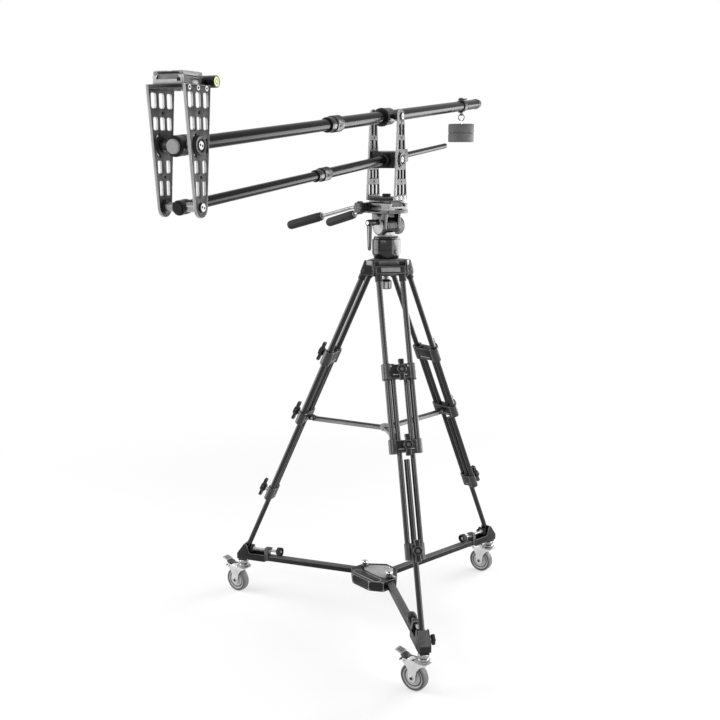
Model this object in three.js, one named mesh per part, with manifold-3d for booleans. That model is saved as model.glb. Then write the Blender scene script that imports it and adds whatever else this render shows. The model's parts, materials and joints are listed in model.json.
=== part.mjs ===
import * as THREE from 'three';
import { mergeVertices } from 'three/addons/utils/BufferGeometryUtils.js';
import Module from 'manifold-3d';

// A camera jib crane: a parallel-arm jib on a two-handled fluid head, a twin-tube tripod and a wheeled dolly.
// Millimetres, +Z up, floor at zero. The tripod axis is the working centre until the last lines.

const wasm = await Module();
wasm.setup();

// Clearances and overruns
const gap = 0.3;
const running = 0.4;
const overrun = 2;

// Sides of the round forms
const sides = { tube: 18, rod: 12, small: 8, wheel: 24, drum: 20 };

const radians = THREE.MathUtils.degToRad;

// How far each arm of the dolly, with the leg above it, is turned from +X
const nearArmTurn = radians(-79);
const thirdTurn = (2 * Math.PI) / 3;
const armTurns = { near: nearArmTurn, left: nearArmTurn - thirdTurn, right: nearArmTurn + thirdTurn };

const caster = {
  wheelRadius: 37.5,
  wheelWidth: 22,
  treadRound: 2.5,
  rimRadius: 28,
  rimStep: 3,
  hubRadius: 10,
  hubWidth: 24,
  boreRadius: 4.4,
  axleRadius: 4,
  axleNutRadius: 7,
  axleNutDepth: 4,
  trail: 26,
  trailAngle: 145,
  forkPlate: 3,
  crownUnderside: 82,
  crownThickness: 4,
  raceRadius: 20,
  raceHeight: 6,
  domeRadius: 15,
  domeHeight: 6.7,
  legFront: 16,
  legBack: 54,
  legWaist: 10,
  legHeel: 40,
  legEye: 11,
  pedalPivotBack: 48,
  pedalPivotHeight: 86,
  pedalBarrel: 4,
  pedalReach: 32,
  pedalRise: 20,
  pedalThickness: 4,
  pedalWidth: 24,
  pedalSpur: 20,
  pedalSpurDrop: 8,
  pedalPinRadius: 1.6,
};

const dolly = {
  reach: 480,
  armRise: 35,
  armHeight: 16,
  armWidth: 22,
  armStart: 24,
  footLength: 95,
  footWidth: 34,
  footWall: 4,
  footDrop: 18,
  footLowRise: 4,
  peakRise: 32,
  peakSetback: 23,
  peakWidth: 10,
  peakSlope: 9,
  tabWidth: 26,
  tabThickness: 12,
  tabRise: 24,
  tabLip: 9,
  tabLipThickness: 3,
  screwRise: 16,
  screwRadius: 4,
  screwLength: 43,
  knobRadius: 13.5,
  knobLength: 18,
  padLength: 8,
  padWidth: 22,
  padHeight: 20,
  casterSetback: 15,
  stemLength: 28,
  stemWidth: 28,
  sideKnobSetback: 28,
  sideKnobDrop: 12,
  sideKnobStem: 4,
  sideKnobStemLength: 6,
  sideKnobRadius: 12,
  sideKnobDepth: 9,
};
dolly.stemBottom = caster.crownUnderside + caster.crownThickness + caster.raceHeight + caster.domeHeight + gap;
dolly.armTop = dolly.stemBottom + dolly.armRise;
dolly.footInner = dolly.reach - dolly.footLength;
dolly.footBottom = dolly.armTop - dolly.footDrop;
dolly.footLowTop = dolly.armTop + dolly.footLowRise;
dolly.footPeak = dolly.armTop + dolly.peakRise;
dolly.peakOuter = dolly.reach - dolly.peakSetback;
dolly.peakInner = dolly.peakOuter - dolly.peakWidth;
dolly.peakFoot = dolly.peakInner - dolly.peakSlope;
dolly.tabTop = dolly.armTop + dolly.tabRise;
dolly.screwHeight = dolly.armTop + dolly.screwRise;
dolly.screwInner = dolly.footInner - dolly.screwLength;
dolly.casterRadius = dolly.reach - dolly.casterSetback;
dolly.sideKnobPlace = dolly.reach - dolly.sideKnobSetback;

const hub = {
  drop: 22,
  rise: 8,
  front: 30,
  shoulderWidth: 24,
  shoulderBack: 18,
  sideWidth: 72,
  tailBack: 70,
  heelBack: 96,
  heelWidth: 36,
  knobRadius: 11,
  knobHeight: 13,
  knobReach: 62,
  stemRadius: 4,
  stemHeight: 4,
};
hub.bottom = dolly.armTop - hub.drop;
hub.top = dolly.armTop + hub.rise;

const leg = {
  hingeRadius: 50.1,
  hingeHeight: 1042,
  footSetback: 18,
  footLift: 4.4,
  outerSpacing: 68,
  outerTube: 8,
  middleSpacing: 36,
  middleTube: 7,
  lowerTube: 7.5,
  yokeAbove: 12,
  yokeBelow: 12,
  yokeWidth: 84,
  yokeThickness: 20,
  pinRadius: 5,
  pinHold: 4.4,
  slidePlace: 286,
  slideLength: 52,
  slideWidth: 100,
  slideThickness: 28,
  stopPlace: 489,
  stopLength: 50,
  stopWidth: 92,
  stopThickness: 26,
  clampPlace: 765,
  clampLength: 48,
  clampWidth: 54,
  clampThickness: 26,
  knobStem: 5,
  knobStemLength: 10,
  knobHub: 10,
  knobHubLength: 12,
  wingLength: 34,
  wingWidth: 10,
  wingDepth: 12,
  lowerTop: 524,
  rubberLength: 26,
  rubberRadius: 10,
};
leg.footRadius = dolly.reach - leg.footSetback;
leg.footHeight = dolly.footBottom + dolly.footWall + leg.footLift;

const crown = {
  pinDrop: 14,
  height: 42,
  faceSetback: 7.1,
  yokeClearance: 0.6,
  bowlRadius: 34,
  bowlDepth: 10,
  boltHole: 9,
  lugThickness: 7,
  lugNose: 9.9,
  lugShoulder: 12,
  lugSlope: 12,
  yokePocket: 16.6,
  flangeThickness: 14,
  panelWidth: 50,
  panelHeight: 8,
  panelDepth: 1.5,
};
crown.bottom = leg.hingeHeight - crown.pinDrop;
crown.top = crown.bottom + crown.height;
crown.bowlFloor = crown.top - crown.bowlDepth;
crown.flangeBottom = crown.top - crown.flangeThickness;
crown.face = leg.hingeRadius - crown.faceSetback;
crown.yokeFace = leg.hingeRadius - crown.yokePocket;
crown.lugReach = leg.hingeRadius + crown.lugNose;
crown.lugTopReach = crown.lugReach - crown.lugSlope;
crown.lugInner = leg.yokeWidth / 2 + crown.yokeClearance;
crown.halfWidth = crown.lugInner + crown.lugThickness;
leg.pinReach = crown.lugInner + leg.pinHold;

const spreader = {
  hubRadius: 16,
  hubHeight: 18,
  drop: 461,
  armWidth: 12,
  armThickness: 6,
  armRise: 9,
};
spreader.place = leg.hingeHeight - spreader.drop;

const bowlKnob = {
  radius: 17,
  bevel: 3,
  gripLength: 24,
  neckRadius: 9,
  neckLength: 14,
  washerThickness: 4,
  washerRadius: 22,
  boltRadius: 8,
};
bowlKnob.neckTop = crown.bottom - bowlKnob.washerThickness;
bowlKnob.gripTop = bowlKnob.neckTop - bowlKnob.neckLength;
bowlKnob.bottom = bowlKnob.gripTop - bowlKnob.gripLength;

const head = {
  turn: -45,
  baseRadius: 40,
  bowlClearance: 1,
  taperHeight: 16,
  baseHeight: 57,
  baseBevel: 3,
  turntableRadius: 36,
  turntableHeight: 7,
  neckLength: 34,
  neckWidth: 38,
  neckHeight: 28,
  drumRadius: 24,
  drumHalf: 20,
  shaftRadius: 9,
  shaftHalf: 34,
  cheekInner: 22,
  cheekThickness: 10,
  cheekLength: 52,
  cheekEye: 24,
  capRadius: 20,
  capDepth: 3,
  ringRadius: 25,
  ringWaist: 22,
  ringStep: 3,
  rings: 3,
  leverAbove: 12,
  leverBoss: 9,
  leverReach: 62,
  cheekHeight: 36,
  platformThickness: 10,
  platformLength: 96,
  platformWidth: 76,
  clampHeight: 18,
  clampLength: 92,
  clampWidth: 74,
  channelDepth: 8,
  plateLength: 84,
  plateFootWidth: 56,
  plateNeckWidth: 48,
  plateProud: 8,
  plateEdge: 52,
  endSlotWidth: 30,
  endSlotHeight: 3.5,
  endSlotDepth: 10,
  rosetteBack: 34,
  rosetteAbove: 52,
  rosetteRadius: 14,
  rosetteOuter: 46,
  handleHub: 14,
  handleStraight: 40,
  handleRod: 5,
  handleSlope: 15,
  nearSplay: 15,
  farSplay: 0,
  handleLength: 112,
  gripLength: 118,
  gripRadius: 13,
  gripRound: 3,
  knobRadius: 18,
  knobDepth: 20,
  leverHubRadius: 9,
  leverHubDepth: 13,
  leverLength: 76,
  leverTopWidth: 17,
  leverTipWidth: 9,
  leverThickness: 6,
};
head.baseFoot = crown.bowlRadius - head.bowlClearance;
head.baseBottom = crown.bowlFloor + gap;
head.baseTaperTop = crown.top + head.taperHeight;
head.baseTop = crown.top + head.baseHeight;
head.turntableTop = head.baseTop + head.turntableHeight;
head.axisHeight = head.turntableTop + head.neckHeight;
head.leverHeight = head.axisHeight + head.leverAbove;
head.rosetteHeight = head.axisHeight + head.rosetteAbove;
head.platformBottom = head.axisHeight + head.cheekHeight;
head.platformTop = head.platformBottom + head.platformThickness;
head.clampTop = head.platformTop + head.clampHeight;
head.channelFloor = head.clampTop - head.channelDepth;
head.plateTop = head.clampTop + head.plateProud;

const jib = {
  turn: 65,
  boomRise: 5,
  baseThickness: 8,
  innerGap: 76,
  plateThickness: 6,
  plateWidth: 84,
  plateFoot: 110,
  pivotSpacing: 115,
  tipRadius: 20,
  bossRadius: 12,
  bossHeight: 9,
  trunnionRadius: 9,
  trunnionClearance: 0.3,
  shoulderRadius: 13,
  shoulderThickness: 3,
  bossRingOuter: 18,
  bossRingInner: 11.5,
  bossRingDepth: 3,
  screwHeadRadius: 10,
  screwHeadDepth: 3,
  frontReach: 978,
  rearReach: 780,
};

const plateCuts = {
  wideSlotWidth: 17.5,
  wideSlotPitch: 25,
  midSlotWidth: 15,
  midSlotPitch: 21.5,
  thirdSlotWidth: 13,
  thirdSlotPitch: 27,
  fourthSlotWidth: 11,
  fourthSlotPitch: 22,
  sideSlotWidth: 6,
  sideSlotPitch: 44,
  firstRow: [14, 42],
  secondRow: [58, 82],
  sideRow: [98, 124],
  thirdRow: [138, 162],
  fourthRow: [176, 204],
  smallHole: 2.6,
  smallHolePlaces: [50, 169],
};

const boom = {
  rearTube: 16,
  rearWall: 1.6,
  frontWall: 2,
  sleeveWall: 7,
  sleeveFlangeStep: 2,
  sleeveFront: 42,
  flangeLength: 12,
  sleeveBack: 12,
  rearTubeFront: 350,
  collarNose: 17,
  collarSeat: 0.5,
  collarShoulder: 9,
  collarTail: 49,
  collarWall: 2.5,
  collarRib: 2,
  collarChamfer: 2,
  tubeOverlap: 110,
  frontStub: 27,
  plugLength: 50,
  ringRadius: 20,
  ringHalf: 20,
  capLength: 35,
  capSpigot: 20,
  capRingStep: 1,
  capRingLength: 7,
  capRadius: 14.5,
  capTipRadius: 11,
};

const lowerArm = {
  rearTube: 12.5,
  rearWall: 1.1,
  frontWall: 2,
  blockLength: 44,
  blockHeight: 44,
  ringRadius: 18,
  ringLength: 12,
  rearTubeFront: 412,
  rearTubeBack: 461,
  stopFront: 100,
  stopLength: 24,
  stopWidth: 26,
  stopHeight: 36,
  rodRadius: 8,
  collarNose: 18,
  collarSeat: 0.5,
  collarShoulder: 9,
  collarTail: 50,
  collarWall: 2,
  collarRib: 2,
  collarChamfer: 2,
  tubeOverlap: 120,
  frontStub: 18,
  plugLength: 40,
  crossRadius: 14.5,
  crossHalf: 15,
};

for (const arm of [boom, lowerArm]) {
  arm.rearBore = arm.rearTube - arm.rearWall;
  arm.frontTube = arm.rearBore - running;
  arm.frontBore = arm.frontTube - arm.frontWall;
  arm.collarSmooth = arm.rearTube + arm.collarWall;
  arm.collarRibbed = arm.collarSmooth + arm.collarRib;
  arm.collarFront = arm.rearTubeFront + arm.collarNose;
  arm.collarLip = arm.rearTubeFront + arm.collarSeat;
  arm.collarStep = arm.rearTubeFront - arm.collarShoulder;
  arm.collarBack = arm.rearTubeFront - arm.collarTail;
  arm.frontTubeBack = arm.rearTubeFront - arm.tubeOverlap;
}
boom.sleeveRadius = boom.rearTube + boom.sleeveWall;
boom.sleeveFlange = boom.sleeveRadius + boom.sleeveFlangeStep;
boom.capRing = boom.rearTube + boom.capRingStep;
boom.rearTubeBack = jib.rearReach - boom.capLength;

const ballast = {
  clampSetback: 135,
  clampLength: 26,
  clampWidth: 38,
  clampTop: 19,
  clampBottom: 19,
  leverLength: 28,
  leverWidth: 10,
  leverHeight: 7,
  lugLength: 14,
  lugThickness: 5,
  lugBelowEye: 5,
  eyePlace: 26,
  eyeRadius: 3,
  ringRadius: 10,
  wireRadius: 1.8,
  wireSag: 0.3,
  weightEyeTop: 5,
  weightDrop: 11,
  weightRadius: 42,
  discHeight: 29,
  seamDepth: 2,
  seamHeight: 2,
};
ballast.clampPlace = boom.rearTubeBack - ballast.clampSetback;
ballast.lugDrop = ballast.eyePlace + ballast.lugBelowEye;
ballast.weightTop = 2 * ballast.ringRadius + ballast.weightDrop;

const cameraMount = {
  platformThickness: 8,
  clampLength: 64,
  clampWidth: 70,
  clampHeight: 16,
  channelDepth: 7,
  plateLength: 60,
  plateFootWidth: 52,
  plateNeckWidth: 44,
  plateEdge: 48,
  plateHeight: 15,
  slotWidth: 28,
  slotHeight: 3,
  slotDepth: 10,
  earLength: 30,
  earWidth: 12,
  earHeight: 14,
  knobBack: 54.5,
  knobRadius: 11.5,
  knobNear: 50,
  knobShaft: 4,
  knobShaftReach: 6,
};

// Colours and finishes
const finishes = {
  blackTube: { color: 0x121214, roughness: 0.25, metalness: 0.6 },
  casting: { color: 0x2a2b2d, roughness: 0.55, metalness: 0.3 },
  platePaint: { color: 0x4a4b4d, roughness: 0.5, metalness: 0.5 },
  blackPlastic: { color: 0x18181a, roughness: 0.6, metalness: 0.0 },
  aluminium: { color: 0xb4b6b8, roughness: 0.35, metalness: 0.9 },
  headPaint: { color: 0x3a3b3e, roughness: 0.45, metalness: 0.4 },
  zinc: { color: 0xc8cacc, roughness: 0.25, metalness: 1.0 },
  tyre: { color: 0x6e7072, roughness: 0.7, metalness: 0.0 },
  pedal: { color: 0x8c8e90, roughness: 0.5, metalness: 0.2 },
  foam: { color: 0x1c1c1e, roughness: 0.9, metalness: 0.0 },
  iron: { color: 0x5a5b5b, roughness: 0.5, metalness: 0.6 },
};

// Closed solids

function closed(geometry) {
  const bare = geometry.clone();
  bare.deleteAttribute('normal');
  bare.deleteAttribute('uv');
  const merged = mergeVertices(bare);
  const kept = [];
  const index = merged.index.array;
  for (let i = 0; i < index.length; i += 3) {
    const [a, b, c] = [index[i], index[i + 1], index[i + 2]];
    if (a !== b && b !== c && c !== a) {
      kept.push(a, b, c);
    }
  }
  merged.setIndex(kept);
  return merged;
}

function solidOf(geometry) {
  const clean = closed(geometry);
  const vertProperties = new Float32Array(clean.attributes.position.array);
  const triVerts = new Uint32Array(clean.index.array);
  return new wasm.Manifold(new wasm.Mesh({ numProp: 3, vertProperties, triVerts }));
}

function geometryOf(solid) {
  const mesh = solid.getMesh();
  const geometry = new THREE.BufferGeometry();
  geometry.setAttribute('position', new THREE.BufferAttribute(new Float32Array(mesh.vertProperties), 3));
  geometry.setIndex(new THREE.BufferAttribute(new Uint32Array(mesh.triVerts), 1));
  return geometry;
}

function join(...geometries) {
  return geometryOf(geometries.map(solidOf).reduce((sum, next) => sum.add(next)));
}

function cut(base, ...tools) {
  return geometryOf(tools.map(solidOf).reduce((rest, tool) => rest.subtract(tool), solidOf(base)));
}

function moved(geometry, x, y, z) {
  return geometry.translate(x, y, z);
}

// A box between two corners
function boxBetween(x0, x1, y0, y1, z0, z1) {
  const box = new THREE.BoxGeometry(x1 - x0, y1 - y0, z1 - z0);
  return box.translate((x0 + x1) / 2, (y0 + y1) / 2, (z0 + z1) / 2);
}

// Round bars from one place to another along each axis, through the point given
function barX(radius, x0, x1, y, z, count) {
  const bar = new THREE.CylinderGeometry(radius, radius, x1 - x0, count);
  bar.rotateY(Math.PI / 2 / count);
  return bar.rotateZ(Math.PI / 2).translate((x0 + x1) / 2, y, z);
}

function barY(radius, y0, y1, x, z, count) {
  return new THREE.CylinderGeometry(radius, radius, y1 - y0, count).translate(x, (y0 + y1) / 2, z);
}

function barZ(radius, z0, z1, x, y, count) {
  const bar = new THREE.CylinderGeometry(radius, radius, z1 - z0, count);
  return bar.rotateX(Math.PI / 2).translate(x, y, (z0 + z1) / 2);
}

// A turned solid about Z. The outline is a list of [radius, height], with its ends on the axis or meeting.
function turned(outline, count) {
  const points = outline.map(([radius, height]) => new THREE.Vector2(radius, height));
  return new THREE.LatheGeometry(points, count).rotateX(Math.PI / 2);
}

// The same about X, with [radius, place along X]
function turnedX(outline, count) {
  const lathe = turned(outline, count);
  return lathe.rotateZ(Math.PI / 2 / count).rotateY(Math.PI / 2);
}

// A ring profile that closes on itself, from a list of [radius, place] outside and one inside
function ringOutline(outer, inner) {
  return [...outer, ...inner, outer[0]];
}

// A flat outline of [x, z] points with holes, given thickness along Y from y0 to y1
function slabY(points, y0, y1, holes = [], curvePoints = sides.small) {
  const shape = new THREE.Shape(points.map(([x, z]) => new THREE.Vector2(x, z)));
  shape.holes.push(...holes);
  const slab = new THREE.ExtrudeGeometry(shape, {
    depth: y1 - y0,
    bevelEnabled: false,
    curveSegments: curvePoints,
  });
  return slab.rotateX(Math.PI / 2).translate(0, y1, 0);
}

// A flat outline of [x, y] points, given height along Z
function slabZ(points, z0, z1) {
  const shape = new THREE.Shape(points.map(([x, y]) => new THREE.Vector2(x, y)));
  const slab = new THREE.ExtrudeGeometry(shape, { depth: z1 - z0, bevelEnabled: false });
  return slab.translate(0, 0, z0);
}

// A profile of [y, z] points, given length along X
function slabX(points, x0, x1) {
  const shape = new THREE.Shape(points.map(([y, z]) => new THREE.Vector2(y, z)));
  const slab = new THREE.ExtrudeGeometry(shape, { depth: x1 - x0, bevelEnabled: false });
  return slab.rotateX(Math.PI / 2).rotateZ(Math.PI / 2).translate(x0, 0, 0);
}

function piece(name, geometry, finish, parent) {
  const mesh = new THREE.Mesh(closed(geometry), new THREE.MeshStandardMaterial(finishes[finish]));
  mesh.name = name;
  parent.add(mesh);
  return mesh;
}

function groupAt(name, parent, x, y, z) {
  const group = new THREE.Group();
  group.name = name;
  group.position.set(x, y, z);
  parent.add(group);
  return group;
}

// Dolly hub

function hubOutline() {
  const half = [
    [hub.front, hub.shoulderWidth],
    [-hub.shoulderBack, hub.sideWidth],
    [-hub.tailBack, hub.sideWidth],
    [-hub.heelBack, hub.heelWidth],
  ];
  const mirrored = half.map(([x, y]) => [x, -y]).reverse();
  return [...half, ...mirrored];
}

function dollyHub(rig) {
  const group = groupAt('dolly_centre', rig, 0, 0, 0);
  group.rotation.z = armTurns.right;
  const pockets = Object.values(armTurns).map((turn) => {
    const half = dolly.armWidth / 2 + gap;
    const start = dolly.armStart - gap;
    const end = hub.heelBack + overrun;
    const low = dolly.armTop - dolly.armHeight - gap;
    const pocket = boxBetween(start, end, -half, half, low, dolly.armTop + gap);
    return pocket.rotateZ(turn - armTurns.right);
  });
  const holes = ['left', 'near'].map((side) => {
    const turn = armTurns[side] - armTurns.right;
    const hole = barZ(hub.stemRadius + running, dolly.armTop, hub.top + overrun, hub.knobReach, 0, sides.rod);
    return hole.rotateZ(turn);
  });
  const casting = slabZ(hubOutline(), hub.bottom, hub.top);
  piece('dolly_hub', cut(casting, ...pockets, ...holes), 'casting', group);
}

// The knobs that clamp the two folding arms, each with its stud down to the arm
function hubKnob(rig, side) {
  const group = groupAt(`hub_knob_${side}_axis`, rig, 0, 0, 0);
  const direction = armTurns[side];
  group.position.set(Math.cos(direction) * hub.knobReach, Math.sin(direction) * hub.knobReach, hub.top + gap);
  const low = dolly.armTop - hub.top;
  const outline = [
    [0, low],
    [hub.stemRadius, low],
    [hub.stemRadius, hub.stemHeight],
    [hub.knobRadius, hub.stemHeight],
    [hub.knobRadius, hub.knobHeight],
    [hub.knobRadius - hub.stemHeight, hub.knobHeight + hub.stemHeight],
    [0, hub.knobHeight + hub.stemHeight],
  ];
  piece(`hub_knob_${side}`, turned(outline, sides.rod), 'blackPlastic', group);
}

// Dolly arm with its foot channel, clamp tab and caster plate

function footOutline(inset) {
  const wall = inset ? dolly.footWall : 0;
  const lift = inset ? overrun : 0;
  const end = dolly.reach - wall;
  const tip = inset ? dolly.footPeak + overrun : dolly.footPeak;
  const run = dolly.reach - dolly.peakOuter;
  const rise = dolly.footPeak - dolly.armTop;
  const peak = dolly.peakOuter - wall - (lift * run) / rise;
  if (inset) {
    return [
      [dolly.footInner + wall, dolly.footBottom + wall],
      [end, dolly.footBottom + wall],
      [end, dolly.armTop],
      [peak, tip],
      [dolly.footInner + wall, tip],
    ];
  }
  return [
    [dolly.footInner, dolly.footBottom],
    [end, dolly.footBottom],
    [end, dolly.armTop],
    [peak, tip],
    [dolly.peakInner, tip],
    [dolly.peakFoot, dolly.footLowTop],
    [dolly.footInner, dolly.footLowTop],
  ];
}

// The small clamp knob on the side wall of the foot channel
function sideKnob(wall, way) {
  const stemEnd = wall + dolly.footWall + dolly.sideKnobStemLength;
  const spans = [
    [dolly.sideKnobStem, wall + dolly.footWall / 2, stemEnd + overrun, sides.small],
    [dolly.sideKnobRadius, stemEnd, stemEnd + dolly.sideKnobDepth, sides.rod],
  ];
  return spans.map(([radius, low, high, count]) => {
    const [start, end] = [way * low, way * high].sort((a, b) => a - b);
    return barY(radius, start, end, dolly.sideKnobPlace, dolly.screwHeight - dolly.sideKnobDrop, count);
  });
}

function dollyArm(rig, side, knobWay) {
  const group = groupAt(`arm_${side}_frame`, rig, 0, 0, 0);
  group.rotation.z = armTurns[side];
  const armLow = dolly.armTop - dolly.armHeight;
  const halfArm = dolly.armWidth / 2;
  const halfFoot = dolly.footWidth / 2;
  const halfSlot = halfFoot - dolly.footWall;
  const halfTab = dolly.tabWidth / 2;
  const tabOuter = dolly.footInner + dolly.footWall;
  const tabInner = tabOuter - dolly.tabThickness;
  const beam = boxBetween(dolly.armStart, tabOuter, -halfArm, halfArm, armLow, dolly.armTop);
  const channel = cut(slabY(footOutline(false), -halfFoot, halfFoot), slabY(footOutline(true), -halfSlot, halfSlot));
  const tab = boxBetween(tabInner, tabOuter, -halfTab, halfTab, armLow, dolly.tabTop);
  const lip = boxBetween(
    tabInner - dolly.tabLip,
    tabOuter,
    -halfTab,
    halfTab,
    dolly.tabTop - dolly.tabLipThickness,
    dolly.tabTop,
  );
  const halfStem = dolly.stemWidth / 2;
  const stemEnd = dolly.casterRadius + dolly.stemLength / 2;
  const stem = boxBetween(
    stemEnd - dolly.stemLength,
    stemEnd,
    -halfStem,
    halfStem,
    dolly.stemBottom,
    dolly.footBottom + dolly.footWall,
  );
  const bore = barX(
    dolly.screwRadius + running,
    tabInner - overrun,
    tabOuter + overrun,
    0,
    dolly.screwHeight,
    sides.rod,
  );
  const arm = cut(join(beam, channel, tab, lip, stem, ...sideKnob(halfSlot, knobWay)), bore);
  piece(`dolly_arm_${side}`, arm, 'casting', group);
  footScrew(group, side);
  casterSet(group, side);
}

// The clamp screw that pushes its pad against the tripod's foot
function footScrew(group, side) {
  const padTop = dolly.screwHeight + dolly.padHeight / 2;
  const legAxis = leg.footRadius - (padTop - leg.footHeight) * Math.tan(legLean);
  const padOuter = legAxis - leg.lowerTube / Math.cos(legLean) - running;
  const padInner = padOuter - dolly.padLength;
  const halfPad = dolly.padWidth / 2;
  const padLow = padTop - dolly.padHeight;
  const rod = barX(dolly.screwRadius, dolly.screwInner, padInner + overrun, 0, dolly.screwHeight, sides.rod);
  const knobEnd = dolly.screwInner + dolly.knobLength / 2;
  const knobStart = dolly.screwInner - dolly.knobLength / 2;
  const knob = barX(dolly.knobRadius, knobStart, knobEnd, 0, dolly.screwHeight, sides.rod);
  const pad = boxBetween(padInner, padOuter, -halfPad, halfPad, padLow, padTop);
  piece(`foot_screw_${side}`, join(rod, knob, pad), 'blackPlastic', group);
}

// Caster: swivel fork, wheel and brake pedal. X runs from the swivel towards the wheel.

function forkLegOutline() {
  const top = caster.crownUnderside + caster.crownThickness;
  const axle = caster.wheelRadius;
  return [
    [-caster.legFront, top],
    [-caster.legFront, caster.crownUnderside],
    [caster.legWaist, axle + caster.rimRadius - caster.legEye / 2],
    [caster.trail - caster.legEye, axle],
    [caster.trail - caster.legEye / 2, axle - caster.legEye],
    [caster.trail + caster.legEye / 2, axle - caster.legEye],
    [caster.trail + caster.legEye, axle],
    [caster.legHeel, axle + caster.rimRadius - caster.legEye / 2],
    [caster.legBack, caster.crownUnderside - caster.legEye / 2],
    [caster.legBack, top],
  ];
}

function casterFork(group, side) {
  const top = caster.crownUnderside + caster.crownThickness;
  const legInner = caster.hubWidth / 2 + running;
  const legOuter = legInner + caster.forkPlate;
  const crownPlate = boxBetween(
    -caster.legFront,
    caster.legWaist + caster.legEye,
    -legOuter,
    legOuter,
    caster.crownUnderside,
    top,
  );
  const cheeks = [-1, 1].map((way) => {
    const [low, high] = [way * legInner, way * legOuter].sort((a, b) => a - b);
    return slabY(forkLegOutline(), low, high);
  });
  const race = barZ(caster.raceRadius, top, top + caster.raceHeight, 0, 0, sides.tube);
  const domeTop = top + caster.raceHeight + caster.domeHeight;
  const dome = barZ(caster.domeRadius, top, domeTop, 0, 0, sides.tube);
  const axle = barY(caster.axleRadius, -legOuter, legOuter, caster.trail, caster.wheelRadius, sides.rod);
  const nutEnd = legOuter + caster.axleNutDepth;
  const nuts = barY(caster.axleNutRadius, -nutEnd, nutEnd, caster.trail, caster.wheelRadius, sides.small);
  const nutSlot = boxBetween(0, caster.legBack, -legInner - gap, legInner + gap, 0, caster.wheelRadius * 2);
  const pin = barY(
    caster.pedalPinRadius,
    -legOuter,
    legOuter,
    caster.pedalPivotBack,
    caster.pedalPivotHeight,
    sides.small,
  );
  const outerNuts = cut(nuts, nutSlot);
  piece(`caster_fork_${side}`, join(crownPlate, ...cheeks, race, dome, axle, outerNuts, pin), 'zinc', group);
}

function casterWheel(group, side) {
  const half = caster.wheelWidth / 2;
  const halfHub = caster.hubWidth / 2;
  const web = half - caster.rimStep;
  const round = caster.treadRound;
  const outer = [
    [caster.hubRadius, -halfHub],
    [caster.hubRadius, -web],
    [caster.rimRadius - round, -web],
    [caster.rimRadius, -half],
    [caster.wheelRadius - round, -half],
    [caster.wheelRadius, -half + round],
    [caster.wheelRadius, half - round],
    [caster.wheelRadius - round, half],
    [caster.rimRadius, half],
    [caster.rimRadius - round, web],
    [caster.hubRadius, web],
    [caster.hubRadius, halfHub],
  ];
  const inner = [
    [caster.boreRadius, halfHub],
    [caster.boreRadius, -halfHub],
  ];
  const wheel = turned(ringOutline(outer, inner), sides.wheel).rotateX(Math.PI / 2);
  const centred = moved(wheel, caster.trail, 0, caster.wheelRadius);
  piece(`caster_wheel_${side}`, centred, 'tyre', group);
}

function casterBrake(group, side) {
  const x = caster.pedalPivotBack;
  const z = caster.pedalPivotHeight;
  const thick = caster.pedalThickness;
  const half = caster.pedalWidth / 2 - running;
  const barrel = barY(caster.pedalBarrel, -half, half, x, z, sides.rod);
  const lever = [
    [x - thick, z],
    [x, z - thick / 2],
    [x + caster.pedalReach, z + caster.pedalRise - thick],
    [x + caster.pedalReach, z + caster.pedalRise],
    [x - thick / 2, z + thick],
  ];
  const spur = [
    [x, z],
    [x + caster.pedalSpur, z - caster.pedalSpurDrop - thick],
    [x + caster.pedalSpur, z - caster.pedalSpurDrop],
    [x + thick, z + thick],
  ];
  const pads = [slabY(lever, -half, half), slabY(spur, -half, half)];
  const bore = barY(
    caster.pedalPinRadius + running,
    -half - overrun,
    half + overrun,
    x,
    z,
    sides.small,
  );
  piece(`caster_brake_${side}`, cut(join(barrel, ...pads), bore), 'pedal', group);
}

function casterSet(armGroup, side) {
  const group = groupAt(`caster_${side}_swivel`, armGroup, dolly.casterRadius, 0, 0);
  group.rotation.z = radians(caster.trailAngle) - armTurns[side];
  casterFork(group, side);
  casterWheel(group, side);
  casterBrake(group, side);
  groupAt(`caster_${side}_axle`, group, caster.trail, 0, caster.wheelRadius);
  groupAt(`caster_${side}_pedal`, group, caster.pedalPivotBack, 0, caster.pedalPivotHeight);
}

// Tripod leg. In its own frame X points outwards, Z points up along the leg, and zero is the hinge pin.

const legRun = leg.footRadius - leg.hingeRadius;
const legDrop = leg.hingeHeight - leg.footHeight;
const legLean = Math.atan2(legRun, legDrop);
const legLength = Math.hypot(legRun, legDrop);

// A clamp knob on the outward face: stem, hub and two wings
function wingKnob(face, place) {
  const stemEnd = face + leg.knobStemLength;
  const hubEnd = stemEnd + leg.knobHubLength;
  const wingStart = hubEnd - leg.wingDepth / 2;
  const stem = barX(leg.knobStem, face - overrun, stemEnd + overrun, 0, place, sides.small);
  const round = barX(leg.knobHub, stemEnd, hubEnd, 0, place, sides.rod);
  const wing = boxBetween(
    wingStart,
    wingStart + leg.wingDepth,
    -leg.wingLength / 2,
    leg.wingLength / 2,
    place - leg.wingWidth / 2,
    place + leg.wingWidth / 2,
  );
  return [stem, round, wing];
}

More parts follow.
